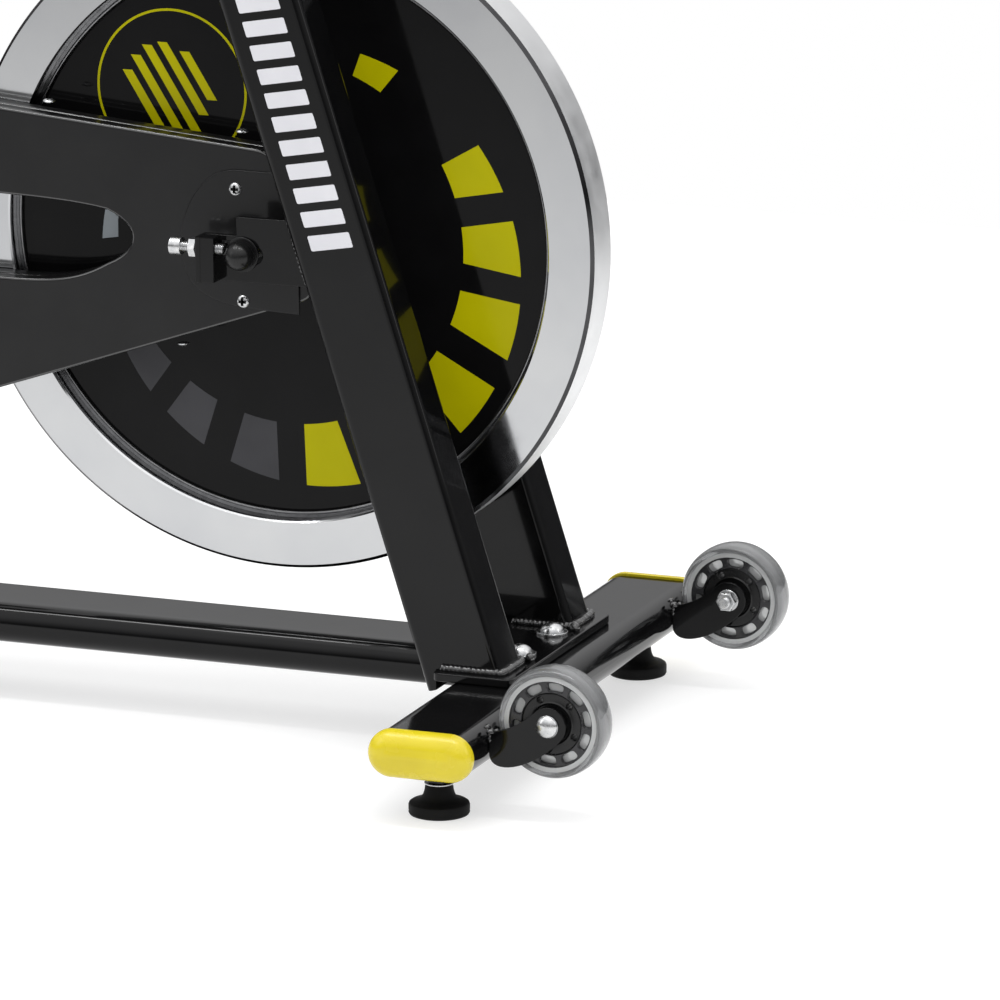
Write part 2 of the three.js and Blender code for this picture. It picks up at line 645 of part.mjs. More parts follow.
// The guard's outline, drawn in by an inset.
function guardOutline(inset) {
  const radius = GUARD_CRANK_RADIUS - inset;
  const above = GUARD_ABOVE_AXLE - inset;
  const below = GUARD_BELOW_AXLE - inset;
  const front = GUARD_FRONT_AT_AXLE - inset;
  const upper = edgeHeading(radius, above, -1);
  const lower = edgeHeading(radius, below, 1);
  const lowCorner = meetingPoint(lower, below, FORK_LEAN, front);
  const highCorner = meetingPoint(upper, above, FORK_LEAN, front);
  const towards = (from, to, distance) => from.clone().add(to.clone().sub(from).setLength(distance));
  const crank = new THREE.Vector2(CRANK_X, CRANK_Z);
  const crankLow = new THREE.Vector2(Math.cos(lower), Math.sin(lower)).multiplyScalar(radius).add(crank);
  const crankHigh = new THREE.Vector2(Math.cos(upper), Math.sin(upper)).multiplyScalar(radius).add(crank);
  const shape = new THREE.Shape();
  shape.absarc(CRANK_X, CRANK_Z, radius, upper, lower);
  const turns = [[crankLow, lowCorner, highCorner], [lowCorner, highCorner, crankHigh]];
  for (const [before, corner, after] of turns) {
    const start = towards(corner, before, 14);
    const end = towards(corner, after, 14);
    shape.lineTo(start.x, start.y);
    shape.quadraticCurveTo(corner.x, corner.y, end.x, end.y);
  }
  shape.closePath();
  return shape;
}

// The window between the two belt runs: a round rear end and a narrower nose.
function guardWindow(margin) {
  const middle = new THREE.Vector2(-190, 350);
  const stretch = new THREE.Vector2(1 + margin / 91, 1 + margin / 30);
  const place = (x, z) => [middle.x + (x - middle.x) * stretch.x, middle.y + (z - middle.y) * stretch.y];
  const path = new THREE.Shape();
  path.moveTo(...place(-252, 319.3));
  path.lineTo(...place(-202, 319.3));
  path.bezierCurveTo(...place(-160, 319), ...place(-142, 322), ...place(-119.5, 335.1));
  path.bezierCurveTo(...place(-92.5, 347), ...place(-92.8, 364), ...place(-119, 373.8));
  path.bezierCurveTo(...place(-140, 377.5), ...place(-170, 379.5), ...place(-252, 380.3));
  path.bezierCurveTo(...place(-293, 380.3), ...place(-293, 319.3), ...place(-252, 319.3));
  path.closePath();
  return path;
}

const GUARD_WALL = 2.5;

// One half of the guard: a flat face with a rim round the outside and round the window.
function guardHalf(lowY, highY, faceIsLow, crankHole, axleHole) {
  const face = hollow(guardOutline(0), guardWindow(0));
  const pocket = hollow(guardOutline(GUARD_WALL), guardWindow(GUARD_WALL));
  const pocketLow = faceIsLow ? lowY + GUARD_WALL : lowY - 1;
  const pocketHigh = faceIsLow ? highY + 1 : highY - GUARD_WALL;
  return cut(
    sidePlate(face, lowY, highY, 5),
    sidePlate(pocket, pocketLow, pocketHigh, 5),
    atCrank(rod(crankHole, -60, 0, 20)),
    atAxle(rod(axleHole, -60, 0, 20)),
  );
}

add("belt_guard_outer", guardHalf(GUARD_RIGHT_Y, GUARD_SEAM_Y - GAP, true, 16, 9), BLACK_PLASTIC);
add("belt_guard_inner", guardHalf(GUARD_SEAM_Y, GUARD_LEFT_Y, false, 12, 26.5), BLACK_PLASTIC);

// ---------------------------------------------------------------- brake and resistance control
const brakeBlock = (lowDistance, highDistance, halfLength, halfWidth) =>
  onBrakeLine(box(-halfLength, halfLength, lowDistance, highDistance, -halfWidth, halfWidth));
const rimCurve = (radius) => atAxle(rod(radius, -40, 40, 72));
const KNOB_BASE_DISTANCE = 404;

const threadedRod = onBrakeLine(rod(7, 262, KNOB_BASE_DISTANCE - GAP, 16));
const brakeRod = join(threadedRod, brakeBlock(259, 267, 26, 15));
const knobProfile = [
  [0, KNOB_BASE_DISTANCE],
  [9, KNOB_BASE_DISTANCE],
  [9, 412],
  [22, 415],
  [24, 422],
  [24, 436],
  [20, 442],
  [0, 445],
];
add("brake_rod", brakeRod, ZINC);
add("brake_pad", cut(brakeBlock(248, 259 - GAP, 25, 14), rimCurve(PAD_DISTANCE)), BLACK_RUBBER);
add("resistance_knob", onBrakeLine(turned(knobProfile, 16)), YELLOW_PLASTIC);

// ---------------------------------------------------------------- handlebar
const postSection = (depth, width) => hollow(
  roundedRectangle(depth - 2 * POST_CLEARANCE, width - 2 * POST_CLEARANCE, 4),
  roundedRectangle(depth - 2 * WALL, width - 2 * WALL, 2.5),
);
const handlebarPost = forkTube(
  postSection(LEG_DEPTH - 2 * WALL, HEAD_WIDTH - 2 * WALL),
  HANDLEBAR_POST_LOW_Z,
  HANDLEBAR_POST_HIGH_Z,
);
add("handlebar_post", handlebarPost, BLACK_PAINT);

function handlebar() {
  const x = forkX(HANDLEBAR_POST_HIGH_Z);
  const z = HANDLEBAR_POST_HIGH_Z + 27;
  const otherSide = ([px, py, pz]) => [px, -py, pz];
  const mirrored = (half) => [...half, ...half.slice(0, -1).reverse().map(otherSide)];
  const horns = mirrored([
    [x + 178, -196, z + 44], [x + 150, -202, z + 38], [x + 70, -206, z + 14], [x + 15, -198, z + 2],
    [x - 8, -160, z], [x - 6, -100, z], [x, 0, z],
  ]);
  const loop = mirrored([
    [x, -66, z], [x + 60, -64, z + 6], [x + 130, -58, z + 26], [x + 168, -40, z + 40], [x + 178, 0, z + 44],
  ]);
  const mountPlate = floorPlate(roundedRectangle(70, 46, 5), HANDLEBAR_POST_HIGH_Z + 9.5, z - 8, 2)
    .translate(x, 0, 0);
  const outerBar = bentBar(horns, HANDLEBAR_RADIUS, 36);
  const innerBar = bentBar(loop, HANDLEBAR_RADIUS - 2, 24);
  return join(outerBar, innerBar, mountPlate);
}

add("handlebar", handlebar(), BLACK_PAINT);

// ---------------------------------------------------------------- saddle
const seatPostSection = postSection(SEAT_TUBE_DEPTH - 2 * WALL, SEAT_TUBE_WIDTH - 2 * WALL);
const SLEEVE_HALF_LENGTH = 30;
const SLEEVE_Z = SEAT_POST_HIGH_Z + 26;
const SLIDER_HALF = 15;
const sleeveX = seatX(SEAT_POST_HIGH_Z);
const STEM_X = sleeveX - 84;
const SADDLE_LOW_Z = 974;
const SADDLE_HIGH_Z = 1016;

// The post ends in a short square sleeve that lies along X.
function seatPost() {
  const outer = 2 * (SLIDER_HALF + GAP + 3);
  const section = hollow(roundedRectangle(outer, outer, 4), roundedRectangle(outer - 6, outer - 6, 2));
  const sleeve = extrude(section, 2 * SLEEVE_HALF_LENGTH, 3)
    .rotateY(Math.PI / 2)
    .translate(sleeveX - SLEEVE_HALF_LENGTH, 0, SLEEVE_Z);
  const tube = seatAxisTube(seatPostSection, SEAT_POST_LOW_Z, SEAT_POST_HIGH_Z);
  const head = box(sleeveX - 26, sleeveX + 26, -17, 17, SEAT_POST_HIGH_Z - 14, SLEEVE_Z - SLIDER_HALF - 1);
  return join(tube, sleeve, head);
}

function seatSlider() {
  const bar = extrude(roundedRectangle(2 * SLIDER_HALF, 2 * SLIDER_HALF, 1.8), 210, 3)
    .rotateY(Math.PI / 2)
    .translate(STEM_X - 18, 0, SLEEVE_Z);
  const stem = rod(11, SLEEVE_Z, SADDLE_LOW_Z - 12, 16).rotateX(Math.PI / 2).translate(STEM_X, 0, 0);
  const clamp = box(STEM_X - 20, STEM_X + 20, -26, 26, SADDLE_LOW_Z - 22, SADDLE_LOW_Z - GAP);
  return join(bar, stem, clamp);
}

function saddle() {
  const nose = STEM_X + 150;
  const rear = STEM_X - 118;
  const shape = new THREE.Shape();
  shape.moveTo(nose, 0);
  shape.bezierCurveTo(nose, 24, nose - 14, 26, nose - 40, 28);
  shape.bezierCurveTo(nose - 110, 34, nose - 130, 60, nose - 160, 92);
  shape.bezierCurveTo(nose - 190, 122, rear, 118, rear, 50);
  shape.lineTo(rear, -50);
  shape.bezierCurveTo(rear, -118, nose - 190, -122, nose - 160, -92);
  shape.bezierCurveTo(nose - 130, -60, nose - 110, -34, nose - 40, -28);
  shape.bezierCurveTo(nose - 14, -26, nose, -24, nose, 0);
  return floorPlate(shape, SADDLE_LOW_Z, SADDLE_HIGH_Z, 5);
}

add("seat_post", seatPost(), BLACK_PAINT);
add("seat_slider", seatSlider(), BLACK_PAINT);
add("saddle", saddle(), BLACK_VINYL);

// ---------------------------------------------------------------- clamp knobs
const clampKnobProfile = [
  [0, 0], [9, 0], [9, 9], [22, 12], [24, 18], [24, 30], [20, 36], [0, 38],
];
const clampKnob = () => turned(clampKnobProfile, 14);
const HEAD_KNOB_Z = 800;
const SEAT_KNOB_Z = 690;

const headKnobX = forkX(HEAD_KNOB_Z) - (LEG_DEPTH / 2 + GAP) * Math.cos(FORK_LEAN);
const headKnobZ = HEAD_KNOB_Z - (LEG_DEPTH / 2 + GAP) * Math.sin(FORK_LEAN);
const headKnobAim = [-Math.cos(FORK_LEAN), -Math.sin(FORK_LEAN)];
add("head_knob", aimed(clampKnob(), ...headKnobAim, headKnobX, 0, headKnobZ), BLACK_PLASTIC);

const seatKnobX = seatX(SEAT_KNOB_Z) - (SEAT_TUBE_DEPTH / 2 + GAP) * Math.cos(SEAT_LEAN);
const seatKnobZ = SEAT_KNOB_Z - (SEAT_TUBE_DEPTH / 2 + GAP) * Math.sin(SEAT_LEAN);
const seatKnobAim = [-Math.cos(SEAT_LEAN), -Math.sin(SEAT_LEAN)];
add("seat_knob", aimed(clampKnob(), ...seatKnobAim, seatKnobX, 0, seatKnobZ), BLACK_PLASTIC);

const sliderKnobY = -(SLIDER_HALF + 2 * GAP + 3);
add("slider_knob", clampKnob().rotateZ(Math.PI).translate(sleeveX, sliderKnobY, SLEEVE_Z), BLACK_PLASTIC);

// ---------------------------------------------------------------- the frame's origin
const frontX = WHEEL_X + WHEEL_RADIUS;
const rearX = REAR_STABILIZER_X - BAR_WIDTH / 2 - 1;
bike.position.x = -(frontX + rearX) / 2;

const model = new THREE.Group();
model.add(bike);
export default model;
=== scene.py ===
"""The looks of an indoor exercise bike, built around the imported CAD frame.

Shapes are drawn in millimetres from the flywheel axle's X and placed in the row frame in metres.
"""

import json
import math
import random

import bmesh
import bpy
from mathutils import Matrix, Vector
from mathutils.bvhtree import BVHTree


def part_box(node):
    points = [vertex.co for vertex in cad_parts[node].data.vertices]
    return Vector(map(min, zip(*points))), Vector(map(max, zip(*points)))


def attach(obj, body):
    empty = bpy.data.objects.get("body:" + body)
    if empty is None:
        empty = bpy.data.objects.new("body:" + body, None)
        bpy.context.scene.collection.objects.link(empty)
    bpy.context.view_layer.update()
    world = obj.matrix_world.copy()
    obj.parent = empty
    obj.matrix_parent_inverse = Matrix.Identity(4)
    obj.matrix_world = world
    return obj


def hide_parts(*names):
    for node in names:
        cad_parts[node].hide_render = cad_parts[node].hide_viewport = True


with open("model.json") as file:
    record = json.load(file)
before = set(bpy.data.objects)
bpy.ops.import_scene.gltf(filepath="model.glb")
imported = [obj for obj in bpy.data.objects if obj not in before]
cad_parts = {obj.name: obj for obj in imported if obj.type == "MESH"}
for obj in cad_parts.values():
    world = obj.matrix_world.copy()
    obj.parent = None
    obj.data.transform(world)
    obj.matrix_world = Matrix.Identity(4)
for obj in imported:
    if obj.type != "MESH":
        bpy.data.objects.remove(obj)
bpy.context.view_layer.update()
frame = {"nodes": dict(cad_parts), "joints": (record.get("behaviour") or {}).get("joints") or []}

MM = 0.001
scene = bpy.context.scene
joints = {joint["name"]: joint for joint in frame["joints"]}


def box_mm(node):
    """Lowest and highest corner of a CAD node, in millimetres from the flywheel axle's X."""
    low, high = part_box(node)
    shift = Vector((AXLE_X, 0, 0))
    return low / MM - shift, high / MM - shift


def centre_of(node):
    low, high = box_mm(node)
    return (low + high) / 2


AXLE_X = joints["flywheel_spin"]["pos_m"][0] / MM
AXLE_Z = joints["flywheel_spin"]["pos_m"][2] / MM
CRANK_X = joints["crank_spin"]["pos_m"][0] / MM - AXLE_X
CRANK_Z = joints["crank_spin"]["pos_m"][2] / MM


# ---------------------------------------------------------------- camera and light
CAMERA_PLACE = (2.50155, -5.3138, 1.5746)
CAMERA_AZIMUTH = math.radians(21.112)
CAMERA_ELEVATION = math.radians(13.8051)
CAMERA_ROLL = math.radians(-0.1218)
CAMERA_LENS = 296.98
SENSOR_WIDTH = 36


def make_camera():
    back = Vector((
        math.sin(CAMERA_AZIMUTH) * math.cos(CAMERA_ELEVATION),
        -math.cos(CAMERA_AZIMUTH) * math.cos(CAMERA_ELEVATION),
        math.sin(CAMERA_ELEVATION),
    ))
    level = Vector((math.cos(CAMERA_AZIMUTH), math.sin(CAMERA_AZIMUTH), 0))
    upright = back.cross(level)
    right = level * math.cos(CAMERA_ROLL) + upright * math.sin(CAMERA_ROLL)
    up = upright * math.cos(CAMERA_ROLL) - level * math.sin(CAMERA_ROLL)
    data = bpy.data.cameras.new("camera")
    data.lens = CAMERA_LENS
    data.sensor_width = SENSOR_WIDTH
    camera = bpy.data.objects.new("camera", data)
    camera.matrix_world = Matrix.Translation(CAMERA_PLACE) @ Matrix((right, up,
                                                                     back)).transposed().to_4x4()
    scene.collection.objects.link(camera)
    scene.camera = camera


def add_node(tree, kind, **constants):
    """A new node whose named inputs are set to constants."""
    made = tree.nodes.new("ShaderNode" + kind)
    for socket, value in constants.items():
        made.inputs[socket.replace("_", " ")].default_value = value
    return made


SKY_LEVELS = ((0.10, 0.10), (0.26, 0.40), (0.55, 0.85))
SKY_STRENGTH = 1.45


def make_world():
    """A studio that is bright overhead and dark at the horizon, and white to the camera."""
    world = bpy.data.worlds.new("studio")
    world.use_nodes = True
    tree, links = world.node_tree, world.node_tree.links
    tree.nodes.clear()
    place, split = add_node(tree, "TexCoord"), add_node(tree, "SeparateXYZ")
    ramp = add_node(tree, "ValToRGB")
    stops = ramp.color_ramp.elements
    stops[0].position, stops[0].color = 0.0, (0.05, 0.05, 0.052, 1)
    stops[1].position, stops[1].color = 1.0, (1.0, 1.0, 1.0, 1)
    for position, level in SKY_LEVELS:
        stop = stops.new(position)
        stop.color = (level, level, level * 1.01, 1)
    light = add_node(tree, "Background", Strength=SKY_STRENGTH)
    white = add_node(tree, "Background", Color=(1, 1, 1, 1))
    seen, mix, out = (add_node(tree, kind) for kind in ("LightPath", "MixShader", "OutputWorld"))
    links.new(place.outputs["Generated"], split.inputs[0])
    links.new(split.outputs["Z"], ramp.inputs["Fac"])
    links.new(ramp.outputs["Color"], light.inputs["Color"])
    links.new(seen.outputs["Is Camera Ray"], mix.inputs[0])
    links.new(light.outputs[0], mix.inputs[1])
    links.new(white.outputs[0], mix.inputs[2])
    links.new(mix.outputs[0], out.inputs["Surface"])
    scene.world = world


def area_light(name, place, target, width, height, watts):
    data = bpy.data.lights.new(name, "AREA")
    data.shape = "RECTANGLE"
    data.size, data.size_y = width, height
    data.energy = watts
    light = bpy.data.objects.new(name, data)
    light.location = place
    light.rotation_euler = (Vector(target) - Vector(place)).to_track_quat("-Z", "Y").to_euler()
    scene.collection.objects.link(light)


make_camera()
make_world()
scene.view_settings.view_transform = "Standard"
for lamp in (("overhead", (0.3, -0.7, 3.4), (0.2, 0, 0), 3.2, 3.2, 14),
             ("strip", (0.1, -0.5, 2.6), (0.1, -0.1, 0), 2.6, 0.16, 20),
             ("left_bank", (-2.6, -2.4, 1.9), (0, 0, 0.4), 0.9, 2.2, 9),
             ("right_bank", (3.4, 0.2, 1.6), (0.3, 0, 0.4), 0.4, 1.6, 4)):
    area_light(*lamp)


# ---------------------------------------------------------------- materials
def new_material(name, colour, roughness, metallic=0.0, specular=0.5, coat=(0.0, 0.03), transmission=0.0,
                 ior=1.5):
    """A principled material with its constants set on the shader's own sockets."""
    made = bpy.data.materials.new(name)
    made.use_nodes = True
    shader = made.node_tree.nodes["Principled BSDF"]
    for socket, value in (("Base Color", (*colour, 1)), ("Roughness", roughness), ("Metallic", metallic),
                          ("Specular IOR Level", specular), ("Coat Weight", coat[0]),
                          ("Coat Roughness", coat[1]),
                          ("Transmission Weight", transmission), ("IOR", ior)):
        shader.inputs[socket].default_value = value
    return made


def object_noise(tree, scale, detail, kind="TexNoise"):
    """A noise over the piece's own coordinates, in features per metre."""
    place, mapping = add_node(tree, "TexCoord"), add_node(tree, "Mapping")
    texture = add_node(tree, kind, Scale=scale, Detail=detail)
    tree.links.new(place.outputs["Object"], mapping.inputs["Vector"])
    tree.links.new(mapping.outputs["Vector"], texture.inputs["Vector"])
    return texture


def vary_roughness(made, low, high, scale):
    tree = made.node_tree
    texture = object_noise(tree, scale, 4.0)
    spread = add_node(tree, "MapRange", From_Min=0.3, From_Max=0.7, To_Min=low, To_Max=high)
    tree.links.new(texture.outputs[0], spread.inputs["Value"])
    tree.links.new(spread.outputs["Result"], tree.nodes["Principled BSDF"].inputs["Roughness"])


def vary_colour(made, dark, light, scale):
    tree = made.node_tree
    texture = object_noise(tree, scale, 5.0)
    ramp = add_node(tree, "ValToRGB")
    ends = ramp.color_ramp.elements
    ends[0].position, ends[0].color = 0.32, (*dark, 1)
    ends[1].position, ends[1].color = 0.68, (*light, 1)
    tree.links.new(texture.outputs[0], ramp.inputs["Fac"])
    tree.links.new(ramp.outputs["Color"], tree.nodes["Principled BSDF"].inputs["Base Color"])


def add_bump(made, scale, strength, depth_mm, kind="TexNoise"):
    tree, links = made.node_tree, made.node_tree.links
    texture = object_noise(tree, scale, 3.0, kind)
    bump = add_node(tree, "Bump", Strength=strength, Distance=depth_mm * MM)
    shader = tree.nodes["Principled BSDF"]
    links.new(texture.outputs[0], bump.inputs["Height"])
    if shader.inputs["Normal"].is_linked:
        links.new(shader.inputs["Normal"].links[0].from_socket, bump.inputs["Normal"])
    links.new(bump.outputs["Normal"], shader.inputs["Normal"])


def finished(name, dark, light, roughness, metallic=0.0, tone=25, gloss=60, grain=(900, 0.15, 0.05),
             **looks):
    """A material whose colour, roughness and fine relief all vary a little."""
    made = new_material(name, light, sum(roughness) / 2, metallic, **looks)
    vary_colour(made, dark, light, tone)
    vary_roughness(made, *roughness, gloss)
    add_bump(made, *grain)
    return made


PAINT = finished("black_paint", (0.0024, 0.0024, 0.0026), (0.0038, 0.0038, 0.0040), (0.09, 0.15),
                 grain=(520, 0.10, 0.03), specular=0.08, coat=(0.34, 0.05))
WELD_PAINT = finished("painted_weld", (0.003, 0.003, 0.0032), (0.006, 0.006, 0.0062), (0.1, 0.2),
                      grain=(700, 0.25, 0.08), specular=0.5, coat=(1.0, 0.04))
GUARD = finished("guard_plastic", (0.0058, 0.0058, 0.0061), (0.0082, 0.0082, 0.0085), (0.34, 0.42),
                 grain=(1600, 0.22, 0.04), specular=0.12, coat=(0.32, 0.12))
GUARD_EDGE = finished("guard_rolled_edge", (0.0058, 0.0058, 0.0061), (0.0082, 0.0082, 0.0085),
                      (0.12, 0.18),
                      grain=(1600, 0.08, 0.02), specular=0.5, coat=(1.0, 0.05))
YELLOW = finished("yellow_plastic", (0.62, 0.50, 0.010), (0.69, 0.565, 0.014), (0.22, 0.30),
                  grain=(1400, 0.12, 0.03), specular=0.55)
RUBBER = finished("black_rubber", (0.0035, 0.0035, 0.0035), (0.006, 0.006, 0.006), (0.55, 0.7),
                  grain=(1500, 0.4, 0.08), specular=0.16)
HARD_BLACK = finished("hard_black_plastic", (0.0035, 0.0035, 0.0036), (0.006, 0.006, 0.0062),
                      (0.22, 0.34),
                      grain=(1300, 0.15, 0.03), specular=0.35)
ZINC = finished("zinc", (0.48, 0.49, 0.50), (0.66, 0.66, 0.66), (0.18, 0.34), 1.0, tone=260, gloss=420,
                grain=(2200, 0.2, 0.02))
STEEL = finished("turned_steel", (0.38, 0.38, 0.39), (0.52, 0.52, 0.53), (0.25, 0.4), 1.0, tone=180,
                 grain=(1800, 0.25, 0.02))
DARK_STEEL = finished("dark_steel", (0.20, 0.20, 0.205), (0.27, 0.27, 0.275), (0.2, 0.3), 1.0, tone=180,
                      grain=(1800, 0.15, 0.02))
TREAD = finished("ground_rim_tread", (0.70, 0.705, 0.71), (0.78, 0.785, 0.79), (0.40, 0.50), 1.0, tone=14,
                 grain=(900, 0.12, 0.02))
# Painted reflection: a dark metal for the rim's chamfers that stands in for the dark line reflected along
# the rim's edges.
RIM_EDGE_PAINTED_DARK = finished("rim_edge_painted_dark_reflection", (0.05, 0.05, 0.052), (0.08, 0.08, 0.083), (0.14, 0.2), 1.0,
                grain=(900, 0.1, 0.02))
ALLOY = finished("black_alloy", (0.009, 0.009, 0.010), (0.015, 0.015, 0.016), (0.26, 0.38), 0.3, tone=140,
                 grain=(1500, 0.2, 0.03), specular=0.4)
BELT = finished("belt_rubber", (0.006, 0.006, 0.006), (0.010, 0.010, 0.010), (0.6, 0.75),
                grain=(900, 0.5, 0.15), specular=0.25)
DISC = finished("gloss_black_disc", (0.0034, 0.0033, 0.0035), (0.0048, 0.0047, 0.0050), (0.05, 0.09),
                grain=(140, 0.06, 0.05), specular=0.12)
FILM = (900, 0.06, 0.02)
PRINT_YELLOW = finished("printed_yellow", (0.455, 0.425, 0.001), (0.49, 0.455, 0.0015), (0.14, 0.22),
                        grain=FILM, specular=0.08)
PRINT_GREY = finished("printed_grey", (0.050, 0.050, 0.054), (0.060, 0.060, 0.065), (0.16, 0.24),
                      grain=FILM, specular=0.1)
PRINT_PALE = finished("printed_pale_grey", (0.38, 0.42, 0.45), (0.43, 0.47, 0.50), (0.16, 0.24),
                      grain=FILM, specular=0.1)
PRINT_SILVER = finished("printed_silver", (0.68, 0.68, 0.715), (0.74, 0.74, 0.77), (0.3, 0.4),
                        grain=FILM, specular=0.1)
FOAM = finished("grip_foam", (0.006, 0.006, 0.006), (0.014, 0.014, 0.014), (0.75, 0.9),
                grain=(1100, 0.7, 0.35), specular=0.2)
WEBBING = finished("strap_webbing", (0.006, 0.006, 0.007), (0.015, 0.015, 0.016), (0.7, 0.85),
                   grain=(700, 0.4, 0.2), specular=0.2)
SMOKED = finished("smoked_core", (0.022, 0.022, 0.024), (0.034, 0.034, 0.037), (0.2, 0.3),
                  grain=(700, 0.1, 0.03), specular=0.4, transmission=0.2)


def clear_plastic(name, colour, transmission, roughness):
    made = new_material(name, colour, roughness, transmission=transmission, ior=1.46)
    vary_roughness(made, roughness * 0.8, roughness * 1.5, 160)
    add_bump(made, 240, 0.12, 0.05)
    return made


TYRE = clear_plastic("clear_tyre", (0.33, 0.335, 0.34), 0.66, 0.08)
PANE = clear_plastic("clear_pane", (0.76, 0.77, 0.77), 0.55, 0.16)


def chrome():
    made = new_material("chrome", (0.50, 0.505, 0.515), 0.08, 1.0)
    vary_colour(made, (0.475, 0.482, 0.495), (0.525, 0.53, 0.535), 12)
    vary_roughness(made, 0.07, 0.13, 90)
    add_bump(made, 36, 0.05, 0.12)
    return made


def vinyl():
    made = new_material("saddle_vinyl", (0.014, 0.014, 0.015), 0.45, 0.0, specular=0.4)
    vary_colour(made, (0.010, 0.010, 0.011), (0.020, 0.020, 0.021), 60)
    vary_roughness(made, 0.40, 0.58, 220)
    add_bump(made, 620, 0.35, 0.18, kind="TexVoronoi")
    add_bump(made, 90, 0.12, 0.5)
    return made


CHROME = chrome()
VINYL = vinyl()


# ---------------------------------------------------------------- outlines, as lists of (u, v)
def rounded_rectangle(width, height, radius, steps=7):
    radius = max(min(radius, width / 2 - 0.01, height / 2 - 0.01), 0.05)
    points = []
    for quarter, (su, sv) in enumerate(((1, 1), (-1, 1), (-1, -1), (1, -1))):
        for step in range(steps + 1):
            angle = math.radians(90 * (quarter + step / steps))
            points.append((su * (width / 2 - radius) + radius * math.cos(angle),
                           sv * (height / 2 - radius) + radius * math.sin(angle)))
    return points


def circle(radius, u=0.0, v=0.0, steps=64):
    turn = 2 * math.pi / steps
    return [(u + radius * math.cos(turn * i), v + radius * math.sin(turn * i)) for i in range(steps)]


def arc(u, v, radius, start, end, steps=24):
    return [(u + radius * math.cos(start + (end - start) * i / steps),
             v + radius * math.sin(start + (end - start) * i / steps)) for i in range(steps + 1)]


def eased_corner(start, corner, end, steps):
    """Points of a curve that leaves start towards a corner and arrives at end."""
    return [tuple(start * (1 - t) ** 2 + corner * 2 * t * (1 - t) + end * t * t)
            for t in (step / steps for step in range(steps + 1))]


def wrapped_circles(u1, v1, radius1, u2, v2, radius2, steps=28):
    """The outline of a taut band round two circles."""
    heading = math.atan2(v2 - v1, u2 - u1)
    spread = math.acos((radius1 - radius2) / math.hypot(u2 - u1, v2 - v1))
    return (arc(u2, v2, radius2, heading - spread, heading + spread, steps)
            + arc(u1, v1, radius1, heading + spread, heading - spread + 2 * math.pi, steps))


def bezier(points, steps=16):
    """Points along chained cubic curves: the first point, then three more for each curve."""
    out = [points[0]]
    for first in range(0, len(points) - 1, 3):
        a, b, c, d = (Vector(p) for p in points[first:first + 4])
        for step in range(1, steps + 1):
            t = step / steps
            s = 1 - t
            out.append(tuple(a * s ** 3 + b * 3 * s * s * t + c * 3 * s * t * t + d * t ** 3))
    return out


def rounded_polygon(corners, radius, steps=6):
    """A polygon whose corners are cut back by radius and rounded."""
    out = []
    for i, corner in enumerate(corners):
        here = Vector(corner)
        before = Vector(corners[i - 1]) - here
        after = Vector(corners[(i + 1) % len(corners)]) - here
        reach = min(radius, before.length * 0.49, after.length * 0.49)
        out += eased_corner(here + before.normalized() * reach, here, here + after.normalized() * reach,
                            steps)
    return out


def smooth_path(points, steps=10, closed=False):
    """A Catmull-Rom curve through 3-D or 2-D points."""
    nodes = [Vector(p) for p in points]
    if closed:
        nodes = [nodes[-1], *nodes, nodes[0], nodes[1]]
    else:
        nodes = [nodes[0] * 2 - nodes[1], *nodes, nodes[-1] * 2 - nodes[-2]]
    out = []
    for a, b, c, d in zip(nodes, nodes[1:], nodes[2:], nodes[3:]):
        for step in range(steps):
            t = step / steps
            out.append(0.5 * (2 * b + (c - a) * t + (2 * a - 5 * b + 4 * c - d) * t ** 2
                              + (3 * b - a - 3 * c + d) * t ** 3))
    if not closed:
        out.append(nodes[-2])
    return out


# ---------------------------------------------------------------- shapes, as (vertices, faces)
def moved(shape, matrix):
    return [matrix @ Vector(v) for v in shape[0]], shape[1]


def joined(*shapes):
    vertices, faces = [], []
    for more_vertices, more_faces in shapes:
        base = len(vertices)
        vertices.extend(more_vertices)
        faces.extend([tuple(i + base for i in face) for face in more_faces])
    return vertices, faces


def loft(loops, wrapped=False):
    """A skin over loops of equally many points."""
    count = len(loops[0])
    vertices = [Vector(p) for loop in loops for p in loop]
    faces = []
    pairs = list(zip(range(len(loops)), range(1, len(loops))))
    if wrapped:
        pairs.append((len(loops) - 1, 0))
    for low, high in pairs:
        for i in range(count):
            j = (i + 1) % count
            faces.append((low * count + i, low * count + j, high * count + j, high * count + i))
    if not wrapped:
        faces.append(tuple(range(count))[::-1])
        faces.append(tuple((len(loops) - 1) * count + i for i in range(count)))
    return vertices, faces


def lathe(profile, segments=64, ripple=None):
    """A turned shape about Y from (radius, y) points; ripple(angle) may scale the radius."""
    closed = all(radius > 0 for radius, _ in profile)
    loops = []
    for radius, y in profile:
        loop = []
        for i in range(segments):
            angle = 2 * math.pi * i / segments
            size = max(radius, 0.001) * (ripple(angle, radius) if ripple else 1)
            loop.append((size * math.cos(angle), y, size * math.sin(angle)))
        loops.append(loop)
    return loft(loops, wrapped=closed)


EASE_STEPS = 3


def rounded_profile(profile, radius):
    """The profile with each corner eased by a small radius."""
    first, last = profile[0], profile[-1]
    if first[0] > 0:
        return rounded_polygon(profile, radius, EASE_STEPS)
    inner = rounded_polygon(profile, radius, EASE_STEPS)
    count = EASE_STEPS + 1
    return [first, *inner[count:-count], last]


def eased_ring(inner, outer, low, high, ease, segments=48):
    """A turned ring, or a solid where inner is 0, whose corners are eased."""
    return lathe(rounded_profile([(inner, low), (outer, low), (outer, high), (inner, high)], ease),
                 segments)


